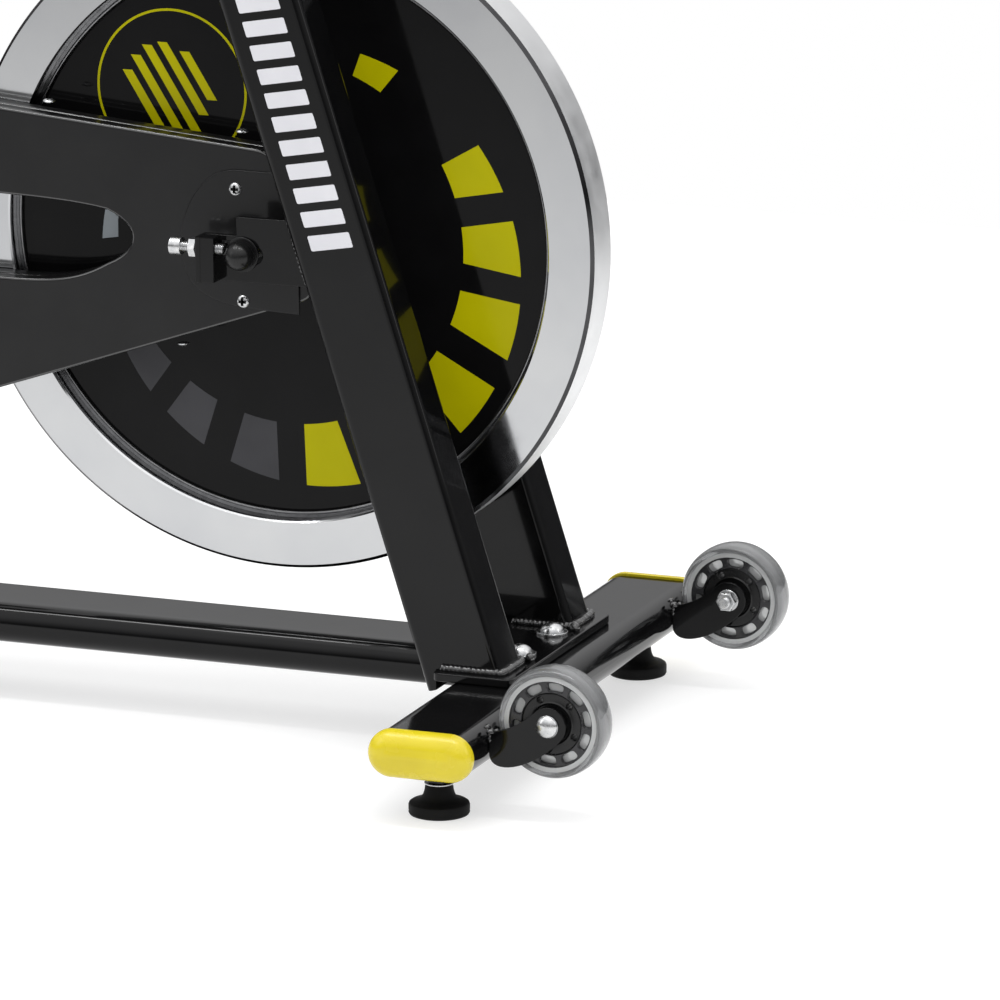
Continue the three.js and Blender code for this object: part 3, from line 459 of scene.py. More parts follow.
def bar(section, low, high, bevel=0.8, steps=3):
    """A straight bar along local Z; section(inset) gives its outline."""
    ends = []
    for step in range(steps + 1):
        angle = math.pi / 2 * step / steps
        ends.append((bevel * (1 - math.sin(angle)), bevel * (1 - math.cos(angle))))
    loops = [[(u, v, low + rise) for u, v in section(inset)] for inset, rise in ends]
    loops += [[(u, v, high - rise) for u, v in section(inset)] for inset, rise in reversed(ends)]
    return loft(loops)


def rounded_section(width, height, radius, steps=7):
    return lambda inset: rounded_rectangle(width - 2 * inset, height - 2 * inset, radius - inset, steps)


def shape_of(holder):
    """The evaluated mesh of a helper object, which is then deleted."""
    bpy.context.view_layer.update()
    made = bpy.data.meshes.new_from_object(holder.evaluated_get(bpy.context.evaluated_depsgraph_get()))
    weld = bmesh.new()
    weld.from_mesh(made)
    bmesh.ops.remove_doubles(weld, verts=weld.verts, dist=1e-3)
    shape = [v.co.copy() for v in weld.verts], [tuple(v.index for v in f.verts) for f in weld.faces]
    weld.free()
    bpy.data.objects.remove(holder)
    bpy.data.meshes.remove(made)
    return shape


def plate(outlines, low, high, bevel=0.5, steps=2):
    """A plate along local Z from closed (u, v) outlines: the first is its edge, the rest are holes."""
    curve = bpy.data.curves.new("outline", "CURVE")
    curve.dimensions = "2D"
    curve.fill_mode = "BOTH"
    curve.extrude = (high - low) / 2 - bevel
    curve.bevel_depth = bevel
    curve.bevel_resolution = steps
    curve.offset = -bevel
    for outline in outlines:
        spline = curve.splines.new("POLY")
        spline.points.add(len(outline) - 1)
        for point, (u, v) in zip(spline.points, outline):
            point.co = (u, v, 0, 1)
        spline.use_cyclic_u = True
    holder = bpy.data.objects.new("outline", curve)
    scene.collection.objects.link(holder)
    shape = shape_of(holder)
    bpy.data.curves.remove(curve)
    return moved(shape, Matrix.Translation((0, 0, (low + high) / 2)))


SIDE = Matrix.Rotation(math.radians(90), 4, "X")
ALONG_X = Matrix.Rotation(math.radians(90), 4, "Y")
ALONG_Y = Matrix.Rotation(math.radians(-90), 4, "X")


def side_plate(outlines, low_y, high_y, bevel=0.5, steps=2):
    """A plate whose outlines are drawn in the side view (x, z)."""
    return moved(plate(outlines, -high_y, -low_y, bevel, steps), SIDE)


def carve(shape, *tools):
    body = helper_object(shape)
    cutters = [helper_object(tool) for tool in tools]
    for cutter in cutters:
        modifier = body.modifiers.new("carve", "BOOLEAN")
        modifier.operation = "DIFFERENCE"
        modifier.solver = "EXACT"
        modifier.object = cutter
    result = shape_of(body)
    for cutter in cutters:
        bpy.data.objects.remove(cutter)
    return result


def outward(mesh):
    tidy = bmesh.new()
    tidy.from_mesh(mesh)
    bmesh.ops.recalc_face_normals(tidy, faces=tidy.faces)
    tidy.to_mesh(mesh)
    tidy.free()


def helper_object(shape):
    mesh = bpy.data.meshes.new("helper")
    mesh.from_pydata([tuple(v) for v in shape[0]], [], shape[1])
    outward(mesh)
    made = bpy.data.objects.new("helper", mesh)
    scene.collection.objects.link(made)
    return made


def block(low, high, bevel=0.6, radius=None):
    """A box with eased edges."""
    low, high = Vector(low), Vector(high)
    size, middle = high - low, (low + high) / 2
    section = rounded_section(size.x, size.y, radius if radius else bevel, 3)
    return moved(bar(section, -size.z / 2, size.z / 2, bevel, 2), Matrix.Translation(middle))


def tube(path, section, closed=False, scale=None, up=(0, 0, 1)):
    """A section of (u, v) points carried along a path; scale(i) may resize it at each point."""
    points = [Vector(p) for p in path]
    count = len(points)
    loops = []
    side = None
    for i, point in enumerate(points):
        if closed:
            heading = (points[(i + 1) % count] - points[i - 1]).normalized()
        else:
            heading = (points[min(i + 1, count - 1)] - points[max(i - 1, 0)]).normalized()
        if side is None:
            side = Vector(up).cross(heading)
            if side.length < 1e-3:
                side = Vector((0, 1, 0)).cross(heading)
        side = (side - heading * side.dot(heading)).normalized()
        other = heading.cross(side)
        size = scale(i) if scale else 1.0
        loops.append([point + side * (u * size) + other * (v * size) for u, v in section])
    return loft(loops, wrapped=closed)


def resampled(path, spacing):
    points = [Vector(p) for p in path]
    out, carried = [points[0]], 0.0
    for a, b in zip(points, points[1:]):
        length = (b - a).length
        along = spacing - carried
        while along <= length:
            out.append(a.lerp(b, along / length))
            along += spacing
        carried = length - (along - spacing)
    return out


BEAD_STEP = 0.7


def weld_bead(path, radius, seed, pitch=3.4):
    """A rippled bead of weld along a path."""
    draw = random.Random(seed)
    points = resampled(path, BEAD_STEP)
    lumps = [draw.uniform(0.86, 1.1) for _ in range(len(points) + 12)]

    def size(i):
        lump = sum(lumps[i:i + 5]) / 5
        wave = abs(math.sin(math.pi * i * BEAD_STEP / pitch))
        end = min(1.0, (min(i, len(points) - 1 - i) + 1.2) * 0.28)
        return lump * (0.80 + 0.24 * wave) * end

    jitter = [Vector((draw.uniform(-1, 1), draw.uniform(-1, 1), draw.uniform(-1, 1))) * 0.12
              for _ in points]
    return tube([p + j for p, j in zip(points, jitter)], circle(radius, steps=12), scale=size)


# ---------------------------------------------------------------- pieces
PIECES = []


def piece(name, shape, body, slot, finish, replaces=(), sharp=34):
    """A visible piece from a shape in millimetres."""
    mesh = bpy.data.meshes.new(name)
    mesh.from_pydata([((v[0] + AXLE_X) * MM, v[1] * MM, v[2] * MM) for v in shape[0]], [], shape[1])
    outward(mesh)
    mesh.shade_smooth()
    mesh.set_sharp_from_angle(angle=math.radians(sharp))
    mesh.materials.append(finish)
    made = bpy.data.objects.new(name, mesh)
    scene.collection.objects.link(made)
    if replaces:
        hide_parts(*replaces)
    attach(made, body)
    PIECES.append(made)
    return made


def settle_normals():
    """Keep large flat faces flat, so that only the rounded edges between them turn the light."""
    for made in PIECES:
        made.modifiers.new("weighted", "WEIGHTED_NORMAL").keep_sharp = True
    depsgraph = bpy.context.evaluated_depsgraph_get()
    meshes = [bpy.data.meshes.new_from_object(made.evaluated_get(depsgraph),
                                              preserve_all_data_layers=True,
                                              depsgraph=depsgraph) for made in PIECES]
    for made, mesh in zip(PIECES, meshes):
        old = made.data
        made.modifiers.clear()
        made.data = mesh
        bpy.data.meshes.remove(old)
        mesh.name = made.name


def at(x, y, z):
    return Matrix.Translation((x, y, z))


def pointing(direction, place):
    """Turns a shape made along +Y to point along a direction, and places it."""
    turn = Vector((0, 1, 0)).rotation_difference(Vector(direction)).to_matrix().to_4x4()
    return Matrix.Translation(place) @ turn


SIDES = (("right", -1), ("left", 1))


def on_both_sides(build):
    for side_name, side in SIDES:
        build(side_name, side)


HALF_TURN = Matrix.Rotation(math.pi, 4, "Z")


def facing(side):
    """Turns what is drawn for the left side so that it faces the given side."""
    return Matrix.Identity(4) if side > 0 else HALF_TURN


# ---------------------------------------------------------------- fasteners, pointing along +Y from y = 0
def dome_head(radius, height):
    arch = [(radius * math.cos(a), height * math.sin(a))
            for a in (math.radians(6 + 12 * i) for i in range(7))]
    return lathe([(0, 0), (radius * 0.97, 0), *arch, (0, height)], 40)


def hexagon_head(radius, height, low=0.0):
    ends = [(0.9, 0.0), (0.0, 0.7)]
    loops = [[(u, low + rise, v) for u, v in circle(radius - inset, steps=6)] for inset, rise in ends]
    loops += [[(u, low + height - rise, v) for u, v in circle(radius - inset, steps=6)]
              for inset, rise in reversed(ends)]
    return loft(loops)


def washer(inner, outer, thickness, low=0.0):
    high = low + thickness
    return lathe([(inner, low), (outer - 0.2, low), (outer, low + 0.2), (outer, high - 0.2),
                  (outer - 0.2, high), (inner, high)], 48)


THREAD_DEPTH = 0.55


def thread(radius, low, high, pitch=1.25):
    root = radius - THREAD_DEPTH
    profile = [(0, low), (root, low)]
    turns = int((high - low) / pitch)
    for turn in range(turns):
        base = low + turn * pitch
        profile += [(root, base + 0.1), (radius, base + pitch * 0.45),
                    (radius, base + pitch * 0.6),
                    (root, base + pitch * 0.98)]
    return lathe([*profile, (root, high), (0, high)], 28)


def socket_screw(radius, height, key):
    recess = bar(lambda inset: circle(key - inset, steps=6), -height - 1, -height * 0.45, 0.1, 1)
    return carve(eased_ring(0, radius, 0, height, 0.7, 40), moved(recess, SIDE))


def painted_recess_shade(radius, height):
    """Painted shade: dark blocks set in the bottom of a cross recess, standing in for the shade there."""
    arm, width = radius * 0.58, radius * 0.19
    low, high = height * 0.1, height * 0.4
    return joined(block((-arm, low, -width), (arm, high, width), 0.05),
                  block((-width, low, -arm), (width, high, arm), 0.05))


def cross_screw(radius, height):
    arm, width = radius * 0.62, radius * 0.22
    long_slot = block((-arm, height * 0.1, -width), (arm, height + 1, width), 0.08)
    tall_slot = block((-width, height * 0.1, -arm), (width, height + 1, arm), 0.08)
    return carve(dome_head(radius, height), long_slot, tall_slot)


def lobed_knob(radius, height, lobes=5):
    """A clamp knob with finger lobes on a stepped neck."""
    profile = [(0, 0), (8.6, 0), (8.9, 0.4), (8.9, 8.0), (10.5, 9.2), (radius * 0.84, 11.4),
               (radius * 0.97, 14),
               (radius, 17.5), (radius, height - 9), (radius * 0.96, height - 5),
               (radius * 0.84, height - 2),
               (radius * 0.6, height - 0.8), (radius * 0.56, height - 1.5), (0, height - 1.3)]

    def ripple(angle, size):
        if size < 12:
            return 1.0
        return 1 - 0.14 * (0.5 - 0.5 * math.cos(lobes * angle)) ** 1.6

    return lathe(profile, 90, ripple)


# ---------------------------------------------------------------- the two leaning axes
def leaning_axis(joint, node, through_z):
    """The matrix of a leaning tube's axis, whose origin is on that axis at a height."""
    direction = Vector(joints[joint]["axis"])
    middle = centre_of(node)
    lean = math.atan2(-direction.x, direction.z)
    x = middle.x - (through_z - middle.z) * math.tan(lean)
    return at(x, 0, through_z) @ Matrix.Rotation(-lean, 4, "Y"), lean, x


FORK, FORK_LEAN, FORK_X_AT_AXLE = leaning_axis("handlebar_height", "fork_crown", AXLE_Z)
SEAT_LEAN = math.atan2(-joints["seat_height"]["axis"][0], joints["seat_height"]["axis"][2])
SEAT = at(CRANK_X, 0, CRANK_Z) @ Matrix.Rotation(-SEAT_LEAN, 4, "Y")


def fork_x(z):
    return FORK_X_AT_AXLE - (z - AXLE_Z) * math.tan(FORK_LEAN)


def seat_x(z):
    return CRANK_X - (z - CRANK_Z) * math.tan(SEAT_LEAN)


def on_fork(z):
    return (z - AXLE_Z) / math.cos(FORK_LEAN)


def on_seat(z):
    return (z - CRANK_Z) / math.cos(SEAT_LEAN)


# ---------------------------------------------------------------- base
BLACK = ("frame_paint", PAINT)
PLASTIC = ("guard_plastic", HARD_BLACK)
BRIGHT = ("zinc", ZINC)
PAINTED = ("frame", *BLACK)
WELDED = ("frame", "frame_paint", WELD_PAINT)
BOLTED = ("frame", *BRIGHT)

beam_low, beam_high = box_mm("base_beam")
beam_section = rounded_section(beam_high.z - beam_low.z, beam_high.y - beam_low.y, 14.9, 10)
beam_shape = bar(beam_section, beam_low.x, beam_high.x, 0.6)
piece("base_beam_bar", moved(beam_shape, at(0, 0, (beam_low.z + beam_high.z) / 2) @ ALONG_X), *PAINTED,
      replaces=["base_beam"])


def base_plate(name, node, bolts):
    low, high = box_mm(node)
    middle = (low + high) / 2
    outline = rounded_rectangle(high.x - low.x, high.y - low.y, 6)
    shape = moved(plate([outline], low.z, high.z, 1.1, 3), at(middle.x, 0, 0))
    piece(name + "_sheet", shape, *PAINTED, replaces=[node])
    for index, (x, y) in enumerate(bolts):
        up = pointing((0, 0, 1), (x, y, high.z))
        tag = f"{name}_bolt_{index + 1}"
        piece(tag + "_washer", moved(washer(4.5, 11.5, 1.8), up), *BOLTED)
        piece(tag + "_head", moved(moved(dome_head(8.6, 6.2), at(0, 1.8, 0)), up), *BOLTED)


plate_low, plate_high = box_mm("front_base_plate")
base_plate("front_plate", "front_base_plate", [(plate_high.x - 20, -32), (plate_high.x - 20, 32)])
rear_low = box_mm("rear_base_plate")[0]
base_plate("rear_plate", "rear_base_plate", [(rear_low.x + 20, -38), (rear_low.x + 20, 38)])


def stabilizer(end, node):
    low, high = box_mm(node)
    middle = (low + high) / 2
    section = rounded_section(high.x - low.x, high.z - low.z, 14.9, 10)
    shape = moved(bar(section, low.y, high.y, 0.5), at(middle.x, 0, middle.z) @ ALONG_Y)
    piece(end + "_stabilizer_bar", shape, *PAINTED, replaces=[node])


def stabilizer_cap(end, side_name, side):
    low, high = box_mm(f"{end}_cap_{side_name}")
    tube_end = box_mm(f"{end}_stabilizer")[1].y
    reach = max(abs(low.y), abs(high.y)) - tube_end
    width, height = high.x - low.x, high.z - low.z
    section = rounded_section(width, height, height / 2, 12)
    loops = [(0.9, 0.2), (0.25, 0.5), (0.0, 1.2), (0.0, 3.6)]
    for step in range(1, 11):
        angle = math.radians(9 * step)
        loops.append((12.5 * (1 - math.cos(angle)), 3.6 + (reach - 4.2) * math.sin(angle)))
    loops += [(14.6, reach - 0.2), (16.4, reach - 0.02)]
    shape = loft([[(u, v, rise) for u, v in section(inset)] for inset, rise in loops])
    middle = (low + high) / 2
    turned = Matrix.Rotation(math.radians(-90 * side), 4, "X")
    piece(f"{end}_cap_{side_name}_cover", moved(shape, at(middle.x, side * tube_end, middle.z) @ turned),
          "frame", "cap_yellow", YELLOW, replaces=[f"{end}_cap_{side_name}"])


def levelling_foot(end, side_name):
    node = f"{end}_foot_{side_name}"
    body = f"{end}_{side_name}_foot"
    low, high = box_mm(node)
    middle = (low + high) / 2
    upright = at(middle.x, middle.y, 0) @ SIDE
    profile = [(0, 0), (19.4, 0), (20.7, 0.5), (21.4, 1.8), (21.2, 3.4), (21.4, 3.7), (21.4, 6.9),
               (20.9, 8.3),
               (19.6, 9.2), (16.6, 9.9), (14.0, 10.9), (12.2, 12.5), (11.0, 14.6), (10.2, 17.4),
               (9.7, 21.0),
               (9.3, 21.6), (0, 21.7)]
    piece(node + "_pad", moved(lathe(profile, 72), upright), body, "black_rubber", RUBBER,
          replaces=[node])
    piece(node + "_washer", moved(washer(5, 10.4, 1.0, 21.8), upright), body, *BRIGHT)
    piece(node + "_nut", moved(hexagon_head(9.8, 7.6, 23.1), upright), body, "frame_paint", HARD_BLACK)
    piece(node + "_stem", moved(thread(5, 22, high.z - 0.5, 1.5), upright), body, *BRIGHT)


for end in ("front", "rear"):
    stabilizer(end, end + "_stabilizer")
    for side_name, side in SIDES:
        stabilizer_cap(end, side_name, side)
        levelling_foot(end, side_name)


# ---------------------------------------------------------------- transport wheels
WHEEL_WINDOWS = 10
WHEEL_CORE, WHEEL_HUB = 31.4, 21.7


def transport_wheel(side_name, side):
    node = "transport_wheel_" + side_name
    body = side_name + "_transport_wheel"
    wheel = centre_of(node)
    place = at(*wheel)
    half_tyre = [(31.6, -9.2), (33.4, -10.2), (34.9, -10.9), (36.4, -11.0), (37.6, -10.4), (38.6, -8.4),
                 (39.1, -5.0), (39.3, -1.6)]
    tyre = half_tyre + [(r, -y) for r, y in reversed(half_tyre)]
    piece(node + "_tyre", moved(lathe(tyre, 120), place), body, "clear_tyre", TYRE, replaces=[node],
          sharp=50)
    windows = []
    half = math.radians(13.2)
    for index in range(WHEEL_WINDOWS):
        middle = math.radians(360 / WHEEL_WINDOWS * index + 12)
        corners = [(r * math.cos(middle + a), r * math.sin(middle + a))
                   for r,
                   a in ((29.2, -half), (29.5, 0), (29.2, half), (23.2, half), (22.9, 0), (23.2, -half))]
        windows.append(rounded_polygon(corners, 2.7, 5))
    core = side_plate([circle(WHEEL_CORE, steps=96), *windows, circle(21.9, steps=72)], -8.4, 8.4, 0.5)
    piece(node + "_core", moved(core, place), body, "clear_tyre", SMOKED)
    panes = [side_plate([window], -5.0, 5.0, 0.4, 1) for window in windows]
    piece(node + "_windows", moved(joined(*panes), place), body, "clear_tyre", PANE)
    rims = [lathe([(r, y + dy) for r,
                   dy in ((30.7, -0.5), (33.9, -0.5), (34.2, 0), (33.9, 0.5), (30.7, 0.5))], 96)
            for y in (-10.0, 10.0)]
    piece(node + "_rings", moved(joined(*rims), place), body, "clear_tyre", PANE)
    holes = [circle(2.3, 18.2 * math.cos(a), 18.2 * math.sin(a), 20)
             for a in (math.radians(72 * i - 26) for i in range(5))]
    hub = side_plate([circle(WHEEL_HUB, steps=72), *holes, circle(4.6, steps=32)], -8.0, 8.0, 0.8)
    boss = lathe(rounded_profile([(4.3, -12), (8.6, -12), (9.4, -7), (9.4, 7), (8.6, 12), (4.3, 12)],
                                 0.6), 48)
    lip = [lathe([(15.0, y - 0.7), (15.9, y), (15.0, y + 0.7), (13.6, y)], 64) for y in (-8.0, 8.0)]
    piece(node + "_hub", moved(joined(hub, boss, *lip), place), body, "black_alloy", HARD_BLACK)

    bolt = f"wheel_bolt_{side_name}"
    outward_y = place @ facing(side)
    head = moved(joined(washer(4, 8, 0.8, 16.3), moved(dome_head(7.9, 4.4), at(0, 17.1, 0))), outward_y)
    piece(bolt + "_head", head, *BOLTED, replaces=[bolt])
    nut = joined(hexagon_head(7.4, 6.4, -22.8), washer(4, 8, 0.8, -17.2), thread(4, -26.6, 17))
    piece(bolt + "_nut", moved(nut, outward_y), *BOLTED)

    bracket = f"wheel_bracket_{side_name}"
    back_x, low_z = box_mm(bracket)[0].x, box_mm(bracket)[0].z
    lower = bezier([(back_x, low_z + 11), (back_x - 1, low_z - 7), (wheel.x - 12, wheel.z - 33),
                    (wheel.x + 10, wheel.z - 9)], 18)
    nose = arc(wheel.x, wheel.z, 13.3, -0.75, 2.3, 22)
    upper = bezier([nose[-1], (wheel.x - 20, wheel.z - 0.5), (wheel.x - 30, wheel.z - 6),
                    (back_x, wheel.z - 7.6)], 10)
    lower = [(x, max(z, low_z + 0.02)) for x, z in lower]
    outline = [*lower, *nose, *upper[1:]]
    hole = circle(4.4, wheel.x, wheel.z, 28)
    ears = [side_plate([outline, hole], wheel.y + low, wheel.y + high, 0.55) for low,
            high in ((-16, -12.6), (12.6, 16))]
    web = block((back_x, wheel.y - 15.9, low_z + 9), (back_x + 3, wheel.y + 15.9, low_z + 19), 0.5)
    piece(bracket + "_plates", joined(*ears, web), *PAINTED, replaces=[bracket])
    for number, ear_y in enumerate((wheel.y - 14.3, wheel.y + 14.3)):
        bead = [(back_x - 1.6, ear_y - 0.5, low_z + 27), (back_x + 0.2, ear_y, low_z + 23),
                (back_x + 0.2, ear_y, low_z + 16)]
        lumps = weld_bead(smooth_path(bead, 8), 2.2, 11 + number + side, 3.2)
        spatter = [moved(dome_head(r, r), pointing((0, 0, 1), (back_x + dx, ear_y + dy, low_z + dz)))
                   for r, dx, dy,
                   dz in ((3.0, 1.5, -1.6, 25), (2.2, 5.0, 1.0, 25.5), (2.6, -2.5, 2.2, 27))]
        piece(f"{bracket}_weld_{number + 1}", joined(lumps, *spatter), *WELDED)


on_both_sides(transport_wheel)


# ---------------------------------------------------------------- fork, head and main frame
LEG_DEPTH, LEG_WIDTH = 60, 40
TUBE_CORNER = 6
LEG_Y = -centre_of("fork_leg_right").y
PLATE_TOP = plate_high.z
CROWN_LOW_Z, CROWN_HIGH_Z = 640, 690


def box_tube(depth, width):
    return rounded_section(depth, width, TUBE_CORNER, 9)


def tube_collar(name, width, top, matrix):
    """The plastic sleeve that guides an adjusting post at a tube's mouth."""
    collar = bar(rounded_section(58.8, width, 5.4, 7), top - 2, top + 3.2, 1.4)
    piece(name, moved(collar, matrix), "frame", *PLASTIC)


def fork_leg(side_name, side):
    node = "fork_leg_" + side_name
    low_z = box_mm(node)[0].z
    heel = on_fork(low_z) + LEG_DEPTH / 2 * math.tan(FORK_LEAN)
    shape = moved(bar(box_tube(LEG_DEPTH, LEG_WIDTH), heel, on_fork(CROWN_HIGH_Z), 0.7),
                  at(0, side * LEG_Y, 0) @ FORK)
    notch = block((plate_low.x - 0.3, side * LEG_Y - 40, 10), (280, side * LEG_Y + 40, PLATE_TOP + 0.2),
                  0.1)
    piece(node + "_tube", carve(shape, notch), *PAINTED, replaces=[node], sharp=30)
    half = LEG_DEPTH / 2 / math.cos(FORK_LEAN)
    middle = fork_x(PLATE_TOP)
    outer, inner = LEG_Y + LEG_WIDTH / 2 + 0.8, LEG_Y - LEG_WIDTH / 2 - 0.8
    z = PLATE_TOP + 1.2
    front_x, rear_x = middle + half, plate_low.x + 3
    route = [(rear_x, side * outer, z), (front_x - 6, side * outer, z), (front_x, side * (outer - 4), z),
             (front_x + 0.8, side * LEG_Y, z), (front_x, side * (inner + 4), z),
             (front_x - 6, side * inner, z),
             (rear_x, side * inner, z)]
    piece(node + "_weld", weld_bead(smooth_path(route, 8), 3.3, 21 + side), *WELDED)
    flare = [(front_x + 1.5, side * (inner - 1.5), z + 0.5), (front_x + 6, side * (inner - 6), z + 0.2)]
    piece(node + "_weld_end", weld_bead(flare, 4.2, 25 + side, 5), *WELDED)


on_both_sides(fork_leg)

crown_low, crown_high = box_mm("fork_crown")
crown_shape = bar(rounded_section(LEG_DEPTH, crown_high.y - crown_low.y, 3, 4), on_fork(CROWN_LOW_Z),
                  on_fork(CROWN_HIGH_Z), 0.8)
piece("fork_crown_block", moved(crown_shape, FORK), *PAINTED, replaces=["fork_crown"])
for side_name, side in SIDES:
    seam = [FORK @ Vector((u, side * 50.2, on_fork(w))) for u,
            w in ((-29, 641), (-30.3, 644), (-30.3, 686), (-29, 690),
                                                                    (29, 690), (30.3, 686), (30.3, 644),
                  (29, 641))]
    piece(f"crown_weld_{side_name}", weld_bead(seam, 2.2, 31 + side), *WELDED)

HEAD_TOP_Z = 834
HEAD_WIDTH = 44
head_shape = bar(box_tube(LEG_DEPTH, HEAD_WIDTH), on_fork(CROWN_HIGH_Z + 0.3), on_fork(HEAD_TOP_Z), 1.0)
piece("head_tube_bar", moved(head_shape, FORK), *PAINTED, replaces=["head_tube"])
tube_collar("head_tube_collar", 42.8, on_fork(HEAD_TOP_Z), FORK)
head_seam = [(u, v, on_fork(690.6)) for u, v in rounded_rectangle(LEG_DEPTH, HEAD_WIDTH, TUBE_CORNER)]
piece("head_tube_weld", moved(weld_bead(head_seam, 2.4, 35), FORK), *WELDED)

BEAM_FRONT_Z, BEAM_REAR_Z = 700, 600
BEAM_DEPTH, BEAM_WIDTH = 70, 40
beam_front = Vector((fork_x(BEAM_FRONT_Z), 0, BEAM_FRONT_Z))
beam_rear = Vector((seat_x(BEAM_REAR_Z), 0, BEAM_REAR_Z))
slope = math.atan2(beam_front.z - beam_rear.z, beam_front.x - beam_rear.x)
ON_BEAM = at(*beam_rear) @ Matrix.Rotation(math.pi / 2 - slope, 4, "Y")
beam_length = (beam_front - beam_rear).length
main_shape = bar(box_tube(BEAM_DEPTH, BEAM_WIDTH), 12, beam_length - 12, 0.5)
piece("main_beam_bar", moved(main_shape, ON_BEAM), *PAINTED, replaces=["main_beam"])
for tag, along, lean in (("front", beam_length - 32.4, FORK_LEAN), ("rear", 32.0, SEAT_LEAN)):
    tilt = math.tan(slope + lean)
    seam = [ON_BEAM @ Vector((u * 1.01, v * 1.02, along + u * tilt)) for u,
            v in rounded_rectangle(BEAM_DEPTH, BEAM_WIDTH, TUBE_CORNER)]
    piece(f"main_beam_weld_{tag}", weld_bead(seam, 1.9, 41), *WELDED)

SEAT_TUBE_TOP_Z = 720
seat_shape = bar(box_tube(60, 40), on_seat(62), on_seat(SEAT_TUBE_TOP_Z), 1.0)
piece("seat_tube_bar", moved(seat_shape, SEAT), *PAINTED, replaces=["seat_tube"])
tube_collar("seat_tube_collar", 38.8, on_seat(SEAT_TUBE_TOP_Z), SEAT)
foot_z = beam_high.z + 0.6
foot_seam = [(seat_x(foot_z) + u * 1.04, v, foot_z) for u, v in rounded_rectangle(62, 41, 6)]
piece("seat_tube_weld", weld_bead(foot_seam + foot_seam[:1], 2.8, 45), *WELDED)

shell_low, shell_high = box_mm("bottom_bracket_shell")
at_crank = at(CRANK_X, 0, CRANK_Z)
shell = eased_ring(18.3, 23, shell_low.y, shell_high.y, 0.7, 72)
piece("bottom_bracket_ring", moved(shell, at_crank), *PAINTED, replaces=["bottom_bracket_shell"])


# ---------------------------------------------------------------- flywheel
at_axle = at(0, 0, AXLE_Z)
wheel_low, wheel_high = box_mm("flywheel")
RIM_RADIUS = (wheel_high.x - wheel_low.x) / 2
RIM_HALF = 18.75
RIM_INNER = 207
SPINNING = "flywheel_assembly"

CHAMFER = 2.5
side_ring = [(RIM_INNER, 1.1 - RIM_HALF), (RIM_INNER + 1.1, -RIM_HALF), (RIM_RADIUS - CHAMFER, -RIM_HALF),
             (RIM_RADIUS, CHAMFER - RIM_HALF)]
rim_profile = [(RIM_INNER, -7.5), *side_ring]
rim_profile += [(radius, -y) for radius, y in reversed(rim_profile)]
rim = piece("flywheel_rim", moved(lathe(rim_profile, 256), at_axle), SPINNING, "chrome_rim", CHROME,
            replaces=["flywheel"], sharp=20)
rim.data.materials.append(TREAD)
rim.data.materials.append(RIM_EDGE_PAINTED_DARK)
# Tread faces take the ground finish. The chamfer faces take the dark metal that paints in the dark
# reflected line along the rim's edges.
for polygon in rim.data.polygons:
    radius = math.hypot(polygon.center.x / MM - AXLE_X, polygon.center.z / MM - AXLE_Z)
    if radius > RIM_RADIUS - CHAMFER and abs(polygon.normal.y) < 0.95:
        polygon.material_index = 1 if abs(polygon.normal.y) < 0.2 else 2
lip = [(206.9, -6.4), (204.6, -6.6), (203.9, -8.2), (202.9, -8.7), (202.0, -8.2), (201.7, -5.0),
       (206.9, -5.0)]
lips = [lathe([(radius, side * y) for radius, y in lip], 256) for _, side in SIDES]
piece("flywheel_lip", moved(joined(*lips), at_axle), SPINNING, "chrome_rim", DARK_STEEL, sharp=60)
disc_profile = [(206.5, -4.0), (202.2, -4.0), (201.6, -5.6), (200.4, -6.2), (25.5, -6.2), (24, -7.2),
                (24, -11)]
disc_profile += [(radius, -y) for radius, y in reversed(disc_profile)]
piece("flywheel_disc", moved(lathe(disc_profile, 192), at_axle), SPINNING, "disc_black", DISC)
hub = eased_ring(16.4, 23.9, wheel_low.y, wheel_high.y, 1.0, 72)
piece("flywheel_hub", moved(hub, at_axle), SPINNING, "bearing_steel", STEEL)

MARK_PITCH = math.radians(19.4)
MARK_GAP = 21
MARK_INNER, MARK_OUTER = 133, 161
DISC_FACE_Y = 6.25
FILM_HALF = 0.12


def line_to_circle(direction, start, centre, radius):
    """The point where a line from start leaves a circle."""
    offset = centre - start
    along = direction.dot(offset)
    return start + direction * (along + math.sqrt(radius ** 2 - offset.length_squared + along ** 2))


def on_circle_between(first, last, centre, radius):
    """Points along a circle's arc from first to last."""
    a = math.atan2(first.y - centre.y, first.x - centre.x)
    b = math.atan2(last.y - centre.y, last.x - centre.x)
    turn = (b - a + math.pi) % (2 * math.pi) - math.pi
    return arc(centre.x, centre.y, radius, a, a + turn, 12)


def heading_of(degrees):
    return Vector((math.cos(math.radians(degrees)), math.sin(math.radians(degrees))))


def printed_bar(angle, y):
    """One mark of the ring on the disc; the gaps between marks have parallel sides."""
    inner_centre = heading_of(-40) * 7.5
    outer_centre = heading_of(-45) * 30
    corners = []
    for sign in (-1, 1):
        heading = math.radians(angle) + sign * MARK_PITCH / 2
        direction = Vector((math.cos(heading), math.sin(heading)))
        start = Vector((math.sin(heading), -math.cos(heading))) * sign * MARK_GAP / 2
        corners.append((line_to_circle(direction, start, inner_centre, MARK_INNER),
                        line_to_circle(direction, start, outer_centre, MARK_OUTER)))
    inner = on_circle_between(corners[0][0], corners[1][0], inner_centre, MARK_INNER)
    outer = on_circle_between(corners[1][1], corners[0][1], outer_centre, MARK_OUTER)
    return side_plate([inner + outer], y - FILM_HALF, y + FILM_HALF, 0.04, 1)


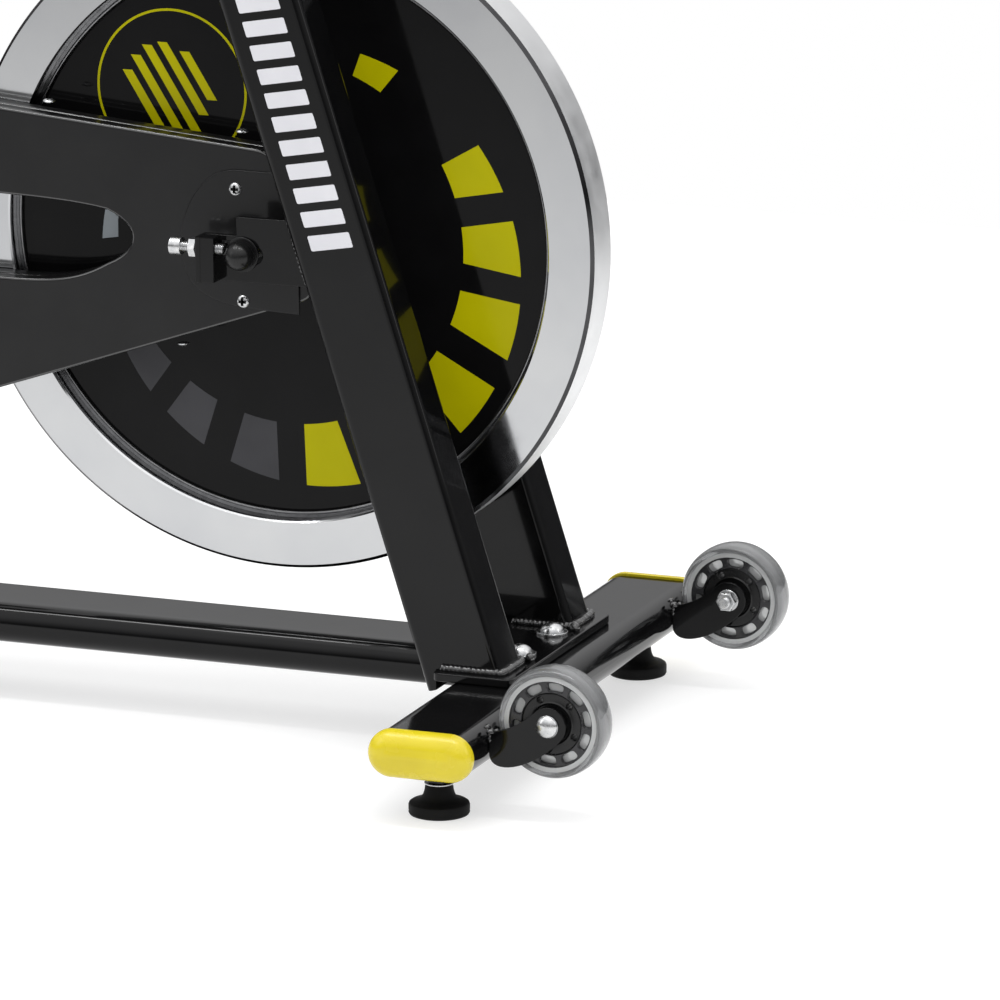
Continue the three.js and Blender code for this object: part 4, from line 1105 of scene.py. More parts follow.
MARKS = (("yellow", PRINT_YELLOW, (60, 20.5, 1, -18, -38, -57.5, -78)),
         ("grey", PRINT_GREY, (-97.5, -117.5, -136, -155)), ("pale", PRINT_PALE, (180,)))
for side_name, side in SIDES:
    face_y = side * DISC_FACE_Y
    for tag, finish, angles in MARKS:
        bars = joined(*[printed_bar(angle, face_y) for angle in angles])
        piece(f"disc_marks_{tag}_{side_name}", moved(bars, at_axle), SPINNING, "disc_black", finish)
    badge = at(-84, face_y, AXLE_Z + 100)
    ring = lathe([(56.1, -FILM_HALF), (57.9, -FILM_HALF), (57.9, FILM_HALF), (56.1, FILM_HALF)], 128)
    piece(f"disc_badge_ring_{side_name}", moved(ring, badge), SPINNING, "disc_black", PRINT_YELLOW)
    stripes = []
    for index, (start, length) in enumerate(((-30, 46), (-36, 62), (-38, 74), (-34, 60), (-20, 40))):
        across = (index - 2) * 11.5
        outline = [(start, across - 3.2), (start + length, across - 3.2),
                   (start + length + 4, across + 3.2),
                   (start + 4, across + 3.2)]
        stripes.append(side_plate([outline], -FILM_HALF, FILM_HALF, 0.04, 1))
    turned = Matrix.Rotation(math.radians(58), 4, "Y")
    piece(f"disc_badge_bars_{side_name}", moved(joined(*stripes), badge @ turned), SPINNING, "disc_black",
          PRINT_YELLOW)


# ---------------------------------------------------------------- axle, dropout brackets, tension bolts
def dropout(side_name, side):
    node = "axle_bracket_" + side_name
    low, high = box_mm(node)
    tab_x, low_z, high_z = low.x, low.z, high.z
    tab_top = 370
    step_x = -4.6

    def leg_back(z):
        return fork_x(z) - LEG_DEPTH / 2 / math.cos(FORK_LEAN) - 0.3

    outline = [(tab_x, low_z), (leg_back(low_z), low_z), (leg_back(high_z), high_z), (step_x, high_z),
               (step_x, tab_top), (tab_x, tab_top)]
    slot = wrapped_circles(-8, AXLE_Z, 6.4, 9, AXLE_Z, 6.4, 12)
    flat = side_plate([rounded_polygon(outline, 1.2, 3), slot], *sorted((side * 74, side * 79)), 0.6)
    tab = block((tab_x, min(side * 78, side * 92), low_z),
                (tab_x + 4, max(side * 78, side * 92), tab_top), 0.7)
    nut_block = block((tab_x + 0.2, min(side * 78, side * 91.4), low_z + 0.2),
                      (tab_x + 14, max(side * 78, side * 91.4), tab_top - 0.2), 0.7)
    piece(node + "_plate", joined(flat, tab, nut_block), *PAINTED, replaces=[node])
    seam = [(leg_back(z) - 0.4, side * 79.6, z) for z in (low_z + 1, 350, 360, 372, high_z - 1)]
    seam += [(leg_back(high_z) - 0.6, side * 77, high_z + 0.6)]
    piece(node + "_weld", weld_bead(seam, 2.6, 51 + side), *WELDED)

    tension = "tension_bolt_" + side_name
    bolt_y, bolt_z = centre_of(tension).y, centre_of(tension).z
    backwards = pointing((-1, 0, 0), (0, bolt_y, bolt_z))
    head = moved(socket_screw(6.5, 8.6, 3.1), at(0, 43.4, 0))
    shank = thread(4, 11.2, 43.6)
    lock_nut = hexagon_head(7.2, 6.4, 31.3)
    piece(tension + "_head", moved(head, backwards), *BOLTED, replaces=[tension])
    piece(tension + "_shank", moved(joined(shank, lock_nut), backwards), *BOLTED)

    nut = "axle_cap_nut_" + side_name
    turned_axle = at_axle @ facing(side)
    dome = [(10.5 * math.cos(a), 85.0 + 10.5 * math.sin(a))
            for a in (math.radians(10 * i) for i in range(9))]
    cap = lathe([(0, 79.4), (10.2, 79.4), (10.5, 80.0), *dome, (0, 95.4)], 64)
    piece(nut + "_dome", moved(cap, turned_axle), "frame", *PLASTIC, replaces=[nut])
    piece(nut + "_washer", moved(washer(6.2, 12.6, 1.6, 79.2), turned_axle), "frame", "frame_paint",
          HARD_BLACK)


on_both_sides(dropout)


# ---------------------------------------------------------------- belt guard
GUARD_ABOVE, GUARD_BELOW, GUARD_FRONT, GUARD_CRANK = 68.7, 47.1, 30.6, 145
crank_distance = math.hypot(CRANK_X, CRANK_Z - AXLE_Z)
crank_heading = math.atan2(CRANK_Z - AXLE_Z, CRANK_X) + 2 * math.pi


def guard_outline(inset):
    """The guard's edge: a round crank end, two straight runs and an end along the fork."""
    radius = GUARD_CRANK - inset
    above, below, front = GUARD_ABOVE - inset, GUARD_BELOW - inset, GUARD_FRONT - inset

    def edge(distance, side):
        return crank_heading + side * math.acos((distance - radius) / crank_distance)

    def meeting(heading1, distance1, heading2, distance2):
        turn = math.sin(heading2 - heading1)
        return Vector(((distance1 * math.sin(heading2) - distance2 * math.sin(heading1)) / turn,
                       AXLE_Z + (distance2 * math.cos(heading1) - distance1 * math.cos(heading2)) / turn))

    upper, lower = edge(above, -1), edge(below, 1)
    low_corner = meeting(lower, below, FORK_LEAN, front)
    high_corner = meeting(upper, above, FORK_LEAN, front)
    points = arc(CRANK_X, CRANK_Z, radius, upper, lower, 72)
    for before, corner, after in ((Vector(points[-1]), low_corner, high_corner),
                                  (low_corner, high_corner, Vector(points[0]))):
        start = corner + (before - corner).normalized() * 14
        end = corner + (after - corner).normalized() * 14
        points += eased_corner(start, corner, end, 8)
    return points


def guard_window(margin):
    stretch_x, stretch_z = 1 + margin / 91, 1 + margin / 30
    corners = [(-252, 319.3), (-235, 319.3), (-219, 319.3), (-202, 319.3), (-160, 319), (-142, 322),
               (-119.5, 335.1),
               (-92.5, 347), (-92.8, 364), (-119, 373.8), (-140, 377.5), (-170, 379.5), (-252, 380.3),
               (-293, 380.3), (-293, 319.3), (-252, 319.3)]
    placed = [(-190 + (x + 190) * stretch_x, 350 + (z - 350) * stretch_z) for x, z in corners]
    return bezier(placed, 12)[:-1]


GUARD_WALL = 2.5


def guard_half(name, node, face_is_low, crank_hole, axle_hole):
    low, high = box_mm(node)
    shell = side_plate([guard_outline(0), guard_window(0)], low.y, high.y, 2.4, 5)
    pocket_y = (low.y + GUARD_WALL, high.y + 2) if face_is_low else (low.y - 2, high.y - GUARD_WALL)
    pocket = side_plate([guard_outline(GUARD_WALL), guard_window(GUARD_WALL)], *pocket_y, 0.2, 1)
    shaft = moved(lathe([(0, -60), (crank_hole, -60), (crank_hole, 0), (0, 0)], 40), at_crank)
    axle = moved(lathe([(0, -60), (axle_hole, -60), (axle_hole, 0), (0, 0)], 40), at_axle)
    half = piece(name, carve(shell, pocket, shaft, axle), "frame", "guard_plastic", GUARD,
                 replaces=[node],
                 sharp=28)
    half.data.materials.append(GUARD_EDGE)
    for polygon in half.data.polygons:
        if 0.12 < abs(polygon.normal.y) < 0.99:
            polygon.material_index = 1


guard_half("guard_outer_shell", "belt_guard_outer", True, 16, 9)
guard_half("guard_inner_shell", "belt_guard_inner", False, 12, 26.5)
guard_face_y = box_mm("belt_guard_outer")[0].y

panel = smooth_path([(-6, 410.2), (-22, 410), (-37, 404.5), (-51, 389), (-59.5, 368), (-61, 349),
                     (-55.5, 331),
                     (-43, 319), (-24, 312.5), (2, 310)], 8)
panel += [Vector((30, 309)), Vector((30, 330)), Vector((12, 410.2))]
panel_plate = side_plate([[tuple(p) for p in panel]], guard_face_y - 1.6, guard_face_y + 0.6, 0.8, 3)
piece("guard_hub_panel", panel_plate, "frame", "guard_plastic", GUARD)

FACE_SCREWS = ((-18.3, 396.6), (-13, 315.6), (-300, 421), (-420, 446), (-545, 350), (-520, 232),
               (-300, 229))
for index, (x, z) in enumerate(FACE_SCREWS):
    raised = 1.6 if index < 2 else 0.0
    place = pointing((0, -1, 0), (x, guard_face_y - raised + 0.1, z))
    piece(f"guard_screw_{index + 1}", moved(cross_screw(4.8, 2.4), place), *BOLTED)
    # Dark blocks in each screw's cross recess paint in the shade at its bottom.
    piece(f"guard_screw_painted_shade_{index + 1}", moved(painted_recess_shade(4.8, 2.4), place), "frame",
          "black_rubber", RUBBER)

for index, (x, z, up) in enumerate(((-165, 448.2, 1), (-16, 436.6, 1), (-63, 280, -1))):
    place = pointing((0.05, 0, up), (x, -39.5, z))
    piece(f"guard_edge_screw_{index + 1}", moved(cross_screw(4.5, 2.2), place), *BOLTED)


# ---------------------------------------------------------------- marks on the fork legs
LEG_MARK_COUNT, LEG_MARK_PITCH = 13, 17.4


def leg_marks(side_name, side):
    """Plain slanted bars stacked along the outer face of a leg."""
    shapes = []
    for index in range(LEG_MARK_COUNT):
        low = 14 + index * LEG_MARK_PITCH
        outline = [(-15.5, low), (16, low - 4.4), (16, low + 6.8), (-15.5, low + 11.2)]
        shapes.append(plate([rounded_polygon(outline, 1.2, 3)], -0.15, 0.15, 0.05, 1))
    upright = at(0, side * (LEG_Y + LEG_WIDTH / 2 + 0.1), 0) @ FORK @ SIDE
    piece(f"leg_marks_{side_name}", moved(joined(*shapes), upright), "frame", "frame_paint", PRINT_SILVER)


on_both_sides(leg_marks)


# ---------------------------------------------------------------- crank and pedals
CRANKSET = ("crankset", "black_alloy", ALLOY)
crank_reach = CRANK_Z - centre_of("pedal_spindle_right").z


def crank_arm(side_name, side):
    node = "crank_arm_" + side_name
    low, high = box_mm(node)
    pedal_z = CRANK_Z + side * crank_reach
    outer_y = side * max(abs(low.y), abs(high.y))
    arm = side_plate([wrapped_circles(CRANK_X, CRANK_Z, 19, CRANK_X, pedal_z, 14)], low.y, high.y, 2.6, 4)
    groove = side_plate([wrapped_circles(CRANK_X, CRANK_Z + side * 34, 8.5, CRANK_X, pedal_z - side * 26,
                                         6)],
                        *sorted((outer_y - side * 1.6, outer_y + side * 4)), 0.5, 1)
    piece(node + "_bar", carve(arm, groove), *CRANKSET, replaces=[node])
    face = abs(outer_y)
    at_face = at_crank @ facing(side)
    cap = eased_ring(0, 11, face - 0.4, face + 2.2, 1.0, 56)
    piece(node + "_dust_cap", moved(cap, at_face), "crankset", *PLASTIC)
    piece(node + "_cap_key", moved(hexagon_head(4.6, 1.2, face + 2.1), at_face), "crankset", *PLASTIC)

    spindle = "pedal_spindle_" + side_name
    at_pedal = at(CRANK_X, 0, pedal_z) @ facing(side)
    profile = [(0, 56), (6.1, 56), (6.1, 68.3), (8.8, 68.3), (9, 68.8), (9, 77.4), (8.6, 78), (6, 78),
               (6, 166), (0, 166)]
    piece(spindle + "_axle", moved(lathe(profile, 48), at_pedal), "crankset", *BRIGHT, replaces=[spindle])


def pedal(side_name, side):
    """A platform with grip teeth and a toe cage, whose strap hangs round the cage's end."""
    node = "pedal_" + side_name
    body = side_name + "_pedal"
    low, high = box_mm(node)
    middle = Vector((CRANK_X, (low.y + high.y) / 2, CRANK_Z + side * crank_reach))
    place = at(*middle)
    half = (high.y - low.y) / 2
    frame_shape = side_plate([rounded_rectangle(82, 20, 6)], -half, half, 1.6, 3)
    pockets = [block((x1, y1, -20), (x2, y2, 20), 0.5, 3)
               for x1, x2 in ((-33, -12), (12, 33)) for y1, y2 in ((9 - half, -3), (3, half - 9))]
    piece(node + "_platform", moved(carve(frame_shape, *pockets), place), body, *PLASTIC,
          replaces=[node])
    barrel = eased_ring(0.01, 10.6, -half + 1, half - 1, 1.0)
    teeth = []
    for x in (-37, 37):
        for index in range(9):
            y = -half + 8 + index * (2 * half - 16) / 8
            teeth += [block((x - 2.2, y - 2, z), (x + 2.2, y + 2, z + 2), 0.5) for z in (9, -11)]
    piece(node + "_teeth", moved(joined(barrel, *teeth), place), body, *PLASTIC)

    outer = bezier([(38, 8.5), (42, 8.5), (45, 8.5), (49, 8), (56, -24), (50, -46), (28, -58), (18, -61),
                    (9, -63), (0, -64)], 10)
    inner = bezier([(0, -60.6), (9, -59.8), (17, -58), (26, -55), (46, -44), (52, -24), (45.2, 4.5)], 10)
    cage = side_plate([[*outer, *inner, (38, 4.5)]], -30, 30, 0.7)
    cuts = [block((36, y1, -44), (70, y2, -2), 0.4, 3) for y1, y2 in ((-24, -4), (4, 24))]
    cuts += [block((6, y1, -80), (26, y2, -40), 0.4, 3) for y1, y2 in ((-22, -6), (6, 22))]
    piece(node + "_cage", moved(carve(cage, *cuts), place), body, *PLASTIC)
    route = [(2, -41, 9), (2, -43, -4), (2, -40, -28), (2, -31, -52), (2, -16, -59), (2, 0, -59.6),
             (2, 16, -59),
             (2, 31, -52), (2, 40, -28), (2, 43, -4), (2, 41, 9), (2, 22, 11.6), (2, -22, 11.6)]
    strap = tube(smooth_path(route, 8, closed=True), rounded_rectangle(12, 1.8, 0.8, 2), closed=True,
                 up=(1, 0, 0))
    piece(node + "_strap", moved(strap, place), body, "belt_rubber", WEBBING)
    buckle = block((-6, side * 42 - 2.4, -24), (10, side * 42 + 2.4, -8), 0.7)
    roller = moved(eased_ring(0, 1.7, -8, 8, 0.4, 20),
                   at(2, side * 44.6, -12) @ Matrix.Rotation(math.pi / 2, 4, "Z"))
    piece(node + "_buckle", moved(joined(buckle, roller), place), body, *BRIGHT)


for side_name, side in SIDES:
    crank_arm(side_name, side)
    pedal(side_name, side)


# ---------------------------------------------------------------- brake
brake_direction = Vector(joints["resistance_turn"]["axis"])
if brake_direction.z < 0:
    brake_direction = -brake_direction
on_brake = pointing(brake_direction, (0, 0, AXLE_Z))
ROD_RADIUS, ROD_LOW, ROD_HIGH = 7, 262, 403.7
rod = eased_ring(0, ROD_RADIUS, ROD_LOW, ROD_HIGH, 0.8, 40)
holder = block((-26, 259.4, -15), (26, 267, 15), 1.0)
piece("brake_rod_bar", moved(joined(rod, holder), on_brake), "brake", *BRIGHT, replaces=["brake_rod"])
pad_block = block((-25, 248, -14), (25, 258.7, 14), 1.0)
rim_cutter = moved(lathe([(0, -40), (252, -40), (252, 40), (0, 40)], 240), at_axle)
piece("brake_pad_block", carve(moved(pad_block, on_brake), rim_cutter), "brake", "black_rubber", RUBBER,
      replaces=["brake_pad"])
KNOB_LOW = 404
knob = moved(lobed_knob(24, 41, 6), at(0, KNOB_LOW, 0))
piece("resistance_knob_grip", moved(knob, on_brake), "resistance_control", "cap_yellow", YELLOW,
      replaces=["resistance_knob"])
knob_cap = lathe([(0, 443.2), (12.6, 443.2), (12.4, 444.2), (0, 444.6)], 48)
piece("resistance_knob_cap", moved(knob_cap, on_brake), "resistance_control", *PLASTIC)
piece("brake_guide", moved(eased_ring(7.4, 13, 375, 389, 1.0), on_brake), "frame", *PLASTIC)


# ---------------------------------------------------------------- handlebar
HANDLEBAR = "handlebar_assembly"
POST_TOP_Z = 1040
post_shape = bar(rounded_section(54.4, 38.4, 4, 7), on_fork(712), on_fork(POST_TOP_Z), 0.8)
piece("handlebar_post_bar", moved(post_shape, FORK), HANDLEBAR, *BLACK, replaces=["handlebar_post"])
BAR_RISE = 27
BAR_RADIUS, LOOP_RADIUS, GRIP_RADIUS, LOOP_GRIP_RADIUS = 12.4, 12.2, 14.7, 14.2
bar_x, bar_z = fork_x(POST_TOP_Z), POST_TOP_Z + BAR_RISE


def mirrored(half):
    return [*half, *[(x, -y, z) for x, y, z in reversed(half[:-1])]]


horn_route = smooth_path(mirrored([
    (bar_x + 178, -196, bar_z + 44), (bar_x + 150, -201, bar_z + 38), (bar_x + 70, -205, bar_z + 14),
    (bar_x + 15, -197, bar_z + 2), (bar_x - 6, -160, bar_z), (bar_x - 5, -100, bar_z),
                                   (bar_x, 0, bar_z)]), 14)
loop_route = smooth_path(mirrored([
    (bar_x, -66, bar_z), (bar_x + 60, -64, bar_z + 6), (bar_x + 130, -58, bar_z + 26),
    (bar_x + 166, -40, bar_z + 40), (bar_x + 177, 0, bar_z + 43.5)]), 14)
steel = joined(tube(horn_route, circle(BAR_RADIUS, steps=28)),
               tube(loop_route, circle(LOOP_RADIUS, steps=28)))
piece("handlebar_tubes", steel, HANDLEBAR, *BLACK, replaces=["handlebar"])
grip_points = resampled(horn_route, 2.0)
reach = next(i for i, p in enumerate(grip_points) if p.y > -84)


def foam_size(count):
    def size(i):
        edge = min(i, count - 1 - i)
        return (0.87, 0.95, 0.985)[edge] if edge < 3 else 1.0
    return size


for side_name, route in (("right", grip_points[:reach]), ("left", grip_points[::-1][:reach])):
    grip = tube(route, circle(GRIP_RADIUS, steps=36), scale=foam_size(len(route)))
    piece(f"handlebar_grip_{side_name}", grip, HANDLEBAR, "bar_foam", FOAM)
    tip, inward = route[0], (route[0] - route[2]).normalized()
    plug = eased_ring(0, 13.6, -2, 1.2, 1.0, 40)
    piece(f"handlebar_plug_{side_name}", moved(plug, pointing(inward, tip)), HANDLEBAR, *PLASTIC)
loop_points = resampled(loop_route, 2.0)
start = next(i for i, p in enumerate(loop_points) if p.x > bar_x + 44)
loop_grip_route = loop_points[start:len(loop_points) - start]
loop_grip = tube(loop_grip_route, circle(LOOP_GRIP_RADIUS, steps=36),
                 scale=foam_size(len(loop_grip_route)))
piece("handlebar_loop_grip", loop_grip, HANDLEBAR, "bar_foam", FOAM)
seat_plate = block((bar_x - 35, -23, POST_TOP_Z + 9.6), (bar_x + 35, 23, bar_z - 10), 1.0, 5)
saddle_block = block((bar_x - 17, -21, bar_z - 12), (bar_x + 17, 21, bar_z + 9), 2.0, 3)
piece("handlebar_clamp_plate", joined(seat_plate, saddle_block), HANDLEBAR, *BLACK)
for index, (dx, y) in enumerate(((-27, -15), (-27, 15), (27, -15), (27, 15))):
    screw = moved(socket_screw(5, 4.6, 2.4), pointing((0, 0, 1), (bar_x + dx, y, bar_z - 10.2)))
    piece(f"handlebar_clamp_screw_{index + 1}", screw, HANDLEBAR, *BRIGHT)


def height_marks(name, body, place, half_depth, low_w, high_w):
    """Plain ticks up one side of an adjusting post."""
    ticks = []
    for index in range(int((high_w - low_w) / 10)):
        length = 11 if index % 5 == 0 else 6
        w = low_w + index * 10
        ticks.append(block((-half_depth - 0.12, -length / 2, w - 0.5),
                           (-half_depth + 0.1, length / 2, w + 0.5), 0.04))
    piece(name, moved(joined(*ticks), place), body, "frame_paint", PRINT_SILVER)


height_marks("handlebar_post_marks", HANDLEBAR, FORK, 27.2, on_fork(870), on_fork(1010))


# ---------------------------------------------------------------- seat post, slider and saddle rails
MAST = "seat_mast"
CARRIAGE = "saddle_carriage"
SLEEVE_Z = 931
SLIDER_WIDTH, SLIDER_LENGTH = 30, 210
sleeve_x = seat_x(905)
stem_x = sleeve_x - 84
SADDLE_LOW_Z = box_mm("saddle")[0].z
mast = moved(bar(rounded_section(54.4, 34.4, 4, 7), on_seat(600), on_seat(906), 0.8), SEAT)
sleeve = moved(plate([rounded_rectangle(36.6, 36.6, 4), rounded_rectangle(30.8, 30.8, 1.6)], -30, 30,
                     0.8),
               at(sleeve_x, 0, SLEEVE_Z) @ ALONG_X)
head = block((sleeve_x - 25, -16.5, 893), (sleeve_x + 25, 16.5, 915), 1.2, 4)
piece("seat_post_bar", joined(mast, sleeve, head), MAST, *BLACK, replaces=["seat_post"])
neck = [(sleeve_x + 25.4 * u, 17.2 * v, 906) for u, v in ((-1, -1), (1, -1), (1, 1), (-1, 1), (-1, -1))]
piece("seat_post_weld", weld_bead(neck, 2.2, 61), MAST, "frame_paint", WELD_PAINT)
height_marks("seat_post_marks", MAST, SEAT, 27.2, on_seat(745), on_seat(880))

slider = moved(bar(rounded_section(SLIDER_WIDTH, SLIDER_WIDTH, 1.8, 4), 0, SLIDER_LENGTH, 0.8),
               at(stem_x - 18, 0, SLEEVE_Z) @ ALONG_X)
stem = moved(eased_ring(0, 11, SLEEVE_Z, SADDLE_LOW_Z - 18, 1), at(stem_x, 0, 0) @ SIDE)
piece("seat_slider_bar", joined(slider, stem), CARRIAGE, *BLACK, replaces=["seat_slider"])
clamp = [block((stem_x - 20, -26, SADDLE_LOW_Z - 22), (stem_x + 20, 26, SADDLE_LOW_Z - 12.4), 1.6, 4),
         block((stem_x - 18, -25, SADDLE_LOW_Z - 11.6), (stem_x + 18, 25, SADDLE_LOW_Z - 4), 1.6, 4)]
piece("saddle_clamp_jaws", joined(*clamp), CARRIAGE, "black_alloy", ALLOY)
pinch = moved(joined(thread(4, -31, 31), hexagon_head(6.6, 5.2, 26.2), hexagon_head(6.6, 5.2, -31.4)),
              at(stem_x, 0, SADDLE_LOW_Z - 17))
piece("saddle_clamp_bolt", pinch, CARRIAGE, *BRIGHT)
RAIL = ((-84, 42, 2), (-66, 36, -5), (-44, 24, -11.5), (-20, 22, -12), (24, 22, -12), (60, 20, -11),
        (92, 14, -4),
        (112, 8, 2))
for side_name, side in SIDES:
    rail = smooth_path([(stem_x + x, side * y, SADDLE_LOW_Z + z) for x, y, z in RAIL], 8)
    piece(f"saddle_rail_{side_name}", tube(rail, circle(3.5, steps=20)), CARRIAGE, "zinc", STEEL)


# ---------------------------------------------------------------- saddle
nose, tail = stem_x + 150, stem_x - 118
half_outline = bezier([(nose, 0), (nose, 24), (nose - 14, 26), (nose - 40, 28), (nose - 110, 34),
                       (nose - 130, 60),
                       (nose - 160, 92), (nose - 190, 122), (tail, 118), (tail, 50), (tail, 34),
                       (tail + 6, 16),
                       (tail + 7, 0)], 14)
saddle_outline = half_outline + [(x, -y) for x, y in reversed(half_outline[1:-1])]
SPINE_FRONT, SPINE_REAR = nose - 26, tail + 70


def saddle_loop(inset, z):
    """The saddle's outline drawn in towards its spine by an inset, at a height."""
    loop = []
    for x, y in saddle_outline:
        spine = Vector((min(max(x, SPINE_REAR), SPINE_FRONT), 0))
        outwards = Vector((x, y)) - spine
        kept = max(outwards.length - inset, 1.5) / outwards.length
        loop.append((spine.x + outwards.x * kept, spine.y + outwards.y * kept, z))
    return loop


def saddle_tray():
    rise = SADDLE_LOW_Z
    rings = ((9, 1.0), (4.5, 0.4), (2.6, 1.2), (1.4, 4.0), (1.2, 9.0), (3.0, 10.0), (12, 10.0))
    return loft([saddle_loop(inset, rise + z) for inset, z in rings])


def saddle_form():
    """The pad before it is blown up: crowned, with its sides drawn in above the tray."""
    rings = ((14, 9), (5, 8.5), (2.6, 10.5), (2.4, 16), (4, 23), (9, 29.5), (18, 34), (32, 36.5),
             (60, 38))
    return loft([saddle_loop(inset, SADDLE_LOW_Z + z) for inset, z in rings])


def shaped_saddle(mesh):
    """Presses the relief channel and the waist into the pad, and drops its nose a little."""
    for vertex in mesh.vertices:
        x = vertex.co.x / MM - AXLE_X
        y, z = vertex.co.y / MM, vertex.co.z / MM
        height = max(0.0, (z - SADDLE_LOW_Z - 12) / 26)
        ahead = (x - tail) / (nose - tail)
        channel = math.exp(-(y / 9.5) ** 2) * math.exp(-((ahead - 0.46) / 0.34) ** 4)
        wings = math.exp(-((ahead - 0.18) / 0.22) ** 2) * min(1.0, (abs(y) / 70) ** 2)
        drop = 6.5 * channel + 5.0 * max(0.0, ahead - 0.72) / 0.28 - 1.5 * wings
        vertex.co.z -= drop * height * MM


def evenly_meshed(made, voxel_mm):
    remesh = made.modifiers.new("even", "REMESH")
    remesh.mode = "VOXEL"
    remesh.voxel_size = voxel_mm * MM
    apply_modifiers(made)


CLOTH_FRAMES = 20


def blown_up(made, pressure, cap_mm):
    """Swells a closed form with a cloth simulation and leaves the plain mesh."""
    start = [v.co.copy() for v in made.data.vertices]
    cloth = made.modifiers.new("cloth", "CLOTH")
    cloth.settings.use_pressure = True
    cloth.settings.uniform_pressure_force = pressure
    cloth.settings.quality = 6
    cloth.settings.tension_stiffness = 25
    cloth.settings.compression_stiffness = 25
    cloth.settings.effector_weights.gravity = 0
    for step in range(1, CLOTH_FRAMES + 1):
        scene.frame_set(step)
    swollen = mesh_of(made)
    made.modifiers.clear()
    for vertex, before, after in zip(made.data.vertices, start, swollen.vertices):
        move = after.co - before
        if move.length > cap_mm * MM:
            move = move.normalized() * cap_mm * MM
        vertex.co = before + move
    bpy.data.meshes.remove(swollen)
    scene.frame_set(1)


def mesh_of(made):
    bpy.context.view_layer.update()
    return bpy.data.meshes.new_from_object(made.evaluated_get(bpy.context.evaluated_depsgraph_get()))


def apply_modifiers(made):
    mesh = mesh_of(made)
    old = made.data
    made.modifiers.clear()
    made.data = mesh
    bpy.data.meshes.remove(old)


saddle_pad = piece("saddle_pad", saddle_form(), CARRIAGE, "saddle_vinyl", VINYL, replaces=["saddle"],
                   sharp=180)
evenly_meshed(saddle_pad, 4.5)
blown_up(saddle_pad, 3.0, 4.5)
relax = saddle_pad.modifiers.new("relax", "SMOOTH")
relax.factor = 0.5
relax.iterations = 6
finer = saddle_pad.modifiers.new("finer", "SUBSURF")
finer.levels = finer.render_levels = 1
apply_modifiers(saddle_pad)
shaped_saddle(saddle_pad.data)
saddle_pad.data.shade_smooth()

piece("saddle_tray", saddle_tray(), CARRIAGE, *PLASTIC)
surface = BVHTree.FromPolygons([v.co / MM - Vector((AXLE_X, 0, 0)) for v in saddle_pad.data.vertices],
                               [tuple(p.vertices) for p in saddle_pad.data.polygons])


def on_pad(points, proud):
    """The points dropped onto the pad's surface, standing proud of it a little."""
    out = []
    for point in points:
        place, normal, _, _ = surface.find_nearest(Vector(point))
        out.append(place + normal * proud)
    return out


def relaxed(points):
    for _ in range(3):
        points = [(points[i - 1] + points[i] * 2 + points[(i + 1) % len(points)]) / 4
                  for i in range(len(points))]
    return points


piping = relaxed(on_pad(saddle_loop(2.0, SADDLE_LOW_Z + 15), 0.2))
piece("saddle_piping", tube(piping, circle(1.25, steps=10), closed=True), CARRIAGE, "saddle_vinyl", VINYL)
panel_seam = resampled(relaxed(on_pad(saddle_loop(13, SADDLE_LOW_Z + 36), 0.1)), 1.0)
stitches = [tube(panel_seam[start:start + 4], circle(0.45, steps=6))
            for start in range(0, len(panel_seam) - 4, 5)]
piece("saddle_stitches", joined(*stitches), CARRIAGE, "saddle_vinyl", PRINT_GREY)


# ---------------------------------------------------------------- clamp knobs
def clamp_knob(node, body, joint, outwards):
    place = pointing(outwards, Vector(joints[joint]["pos_m"]) / MM - Vector((AXLE_X, 0, 0)))
    knob = moved(lobed_knob(24, 38), place)
    piece(node + "_grip", knob, body, *PLASTIC, replaces=[node])
    cap = lathe([(0, 36.5), (12.8, 36.5), (12.6, 37.2), (0, 37.6)], 48)
    piece(node + "_cap", moved(cap, place), body, "cap_yellow", YELLOW)


fork_back = (-math.cos(FORK_LEAN), 0, -math.sin(FORK_LEAN))
seat_back = (-math.cos(SEAT_LEAN), 0, -math.sin(SEAT_LEAN))
clamp_knob("head_knob", "handlebar_clamp", "handlebar_knob_turn", fork_back)
clamp_knob("seat_knob", "seat_clamp", "seat_knob_turn", seat_back)
clamp_knob("slider_knob", "saddle_clamp", "slider_knob_turn", (0, -1, 0))


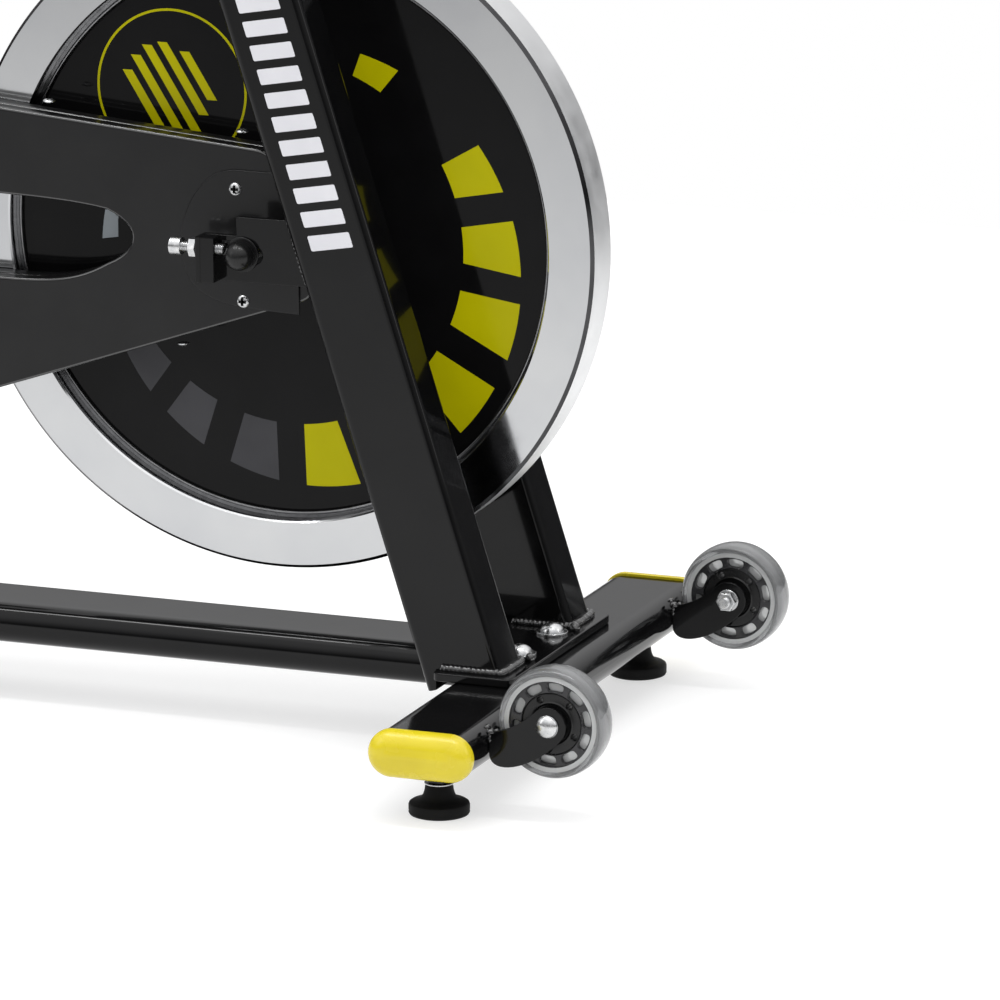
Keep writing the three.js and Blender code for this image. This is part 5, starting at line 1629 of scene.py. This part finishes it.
# ---------------------------------------------------------------- CAD nodes that stay
axle_profile = [(0, -86), (5.6, -86), (6, -85.4), (6, -73), (7.5, -73), (7.5, 73), (6, 73), (6, 85.4),
                (5.6, 86), (0, 86)]
piece("flywheel_axle_rod", moved(lathe(axle_profile, 48), at_axle), *BOLTED, replaces=["flywheel_axle"])
KEPT_NODES = {
    "hub_bearing_right": STEEL, "hub_bearing_left": STEEL, "flywheel_pulley": STEEL, "crank_axle": STEEL,
    "bottom_bracket_cartridge": STEEL, "crank_pulley": ALLOY, "drive_belt": BELT,
}
for node, finish in KEPT_NODES.items():
    mesh = frame["nodes"][node].data
    mesh.materials.clear()
    mesh.materials.append(finish)


# ---------------------------------------------------------------- floor
def glowing_floor():
    """A pale sweep that glows: painted light that lifts the shadows on it, strongest at and behind the
    bike and weaker towards the camera's side.
    """
    made = new_material("studio_floor", (0.50, 0.50, 0.50), 0.85, specular=0.1)
    vary_roughness(made, 0.8, 0.9, 3)
    tree, links = made.node_tree, made.node_tree.links
    shader = tree.nodes["Principled BSDF"]
    # The emission is painted light. It brightens the floor's shadows and paints a pool of light that
    # weakens towards the camera's side.
    shader.inputs["Emission Color"].default_value = (1, 1, 1, 1)
    place, split = add_node(tree, "TexCoord"), add_node(tree, "SeparateXYZ")
    painted_glow = add_node(tree, "MapRange", From_Min=-2.8, From_Max=-0.6, To_Min=0.05, To_Max=0.56)
    links.new(place.outputs["Object"], split.inputs[0])
    links.new(split.outputs["Y"], painted_glow.inputs["Value"])
    links.new(painted_glow.outputs["Result"], shader.inputs["Emission Strength"])
    return made


FLOOR_HALF_WIDTH, FLOOR_FRONT, FLOOR_BACK = 30, -30, 1.8


def make_floor():
    mesh = bpy.data.meshes.new("floor")
    corners = [(x, y, 0) for x, y in ((-FLOOR_HALF_WIDTH, FLOOR_FRONT), (FLOOR_HALF_WIDTH, FLOOR_FRONT),
                                      (FLOOR_HALF_WIDTH, FLOOR_BACK), (-FLOOR_HALF_WIDTH, FLOOR_BACK))]
    mesh.from_pydata(corners, [], [(0, 1, 2, 3)])
    mesh.materials.append(glowing_floor())
    floor = bpy.data.objects.new("floor", mesh)
    scene.collection.objects.link(floor)


settle_normals()
make_floor()
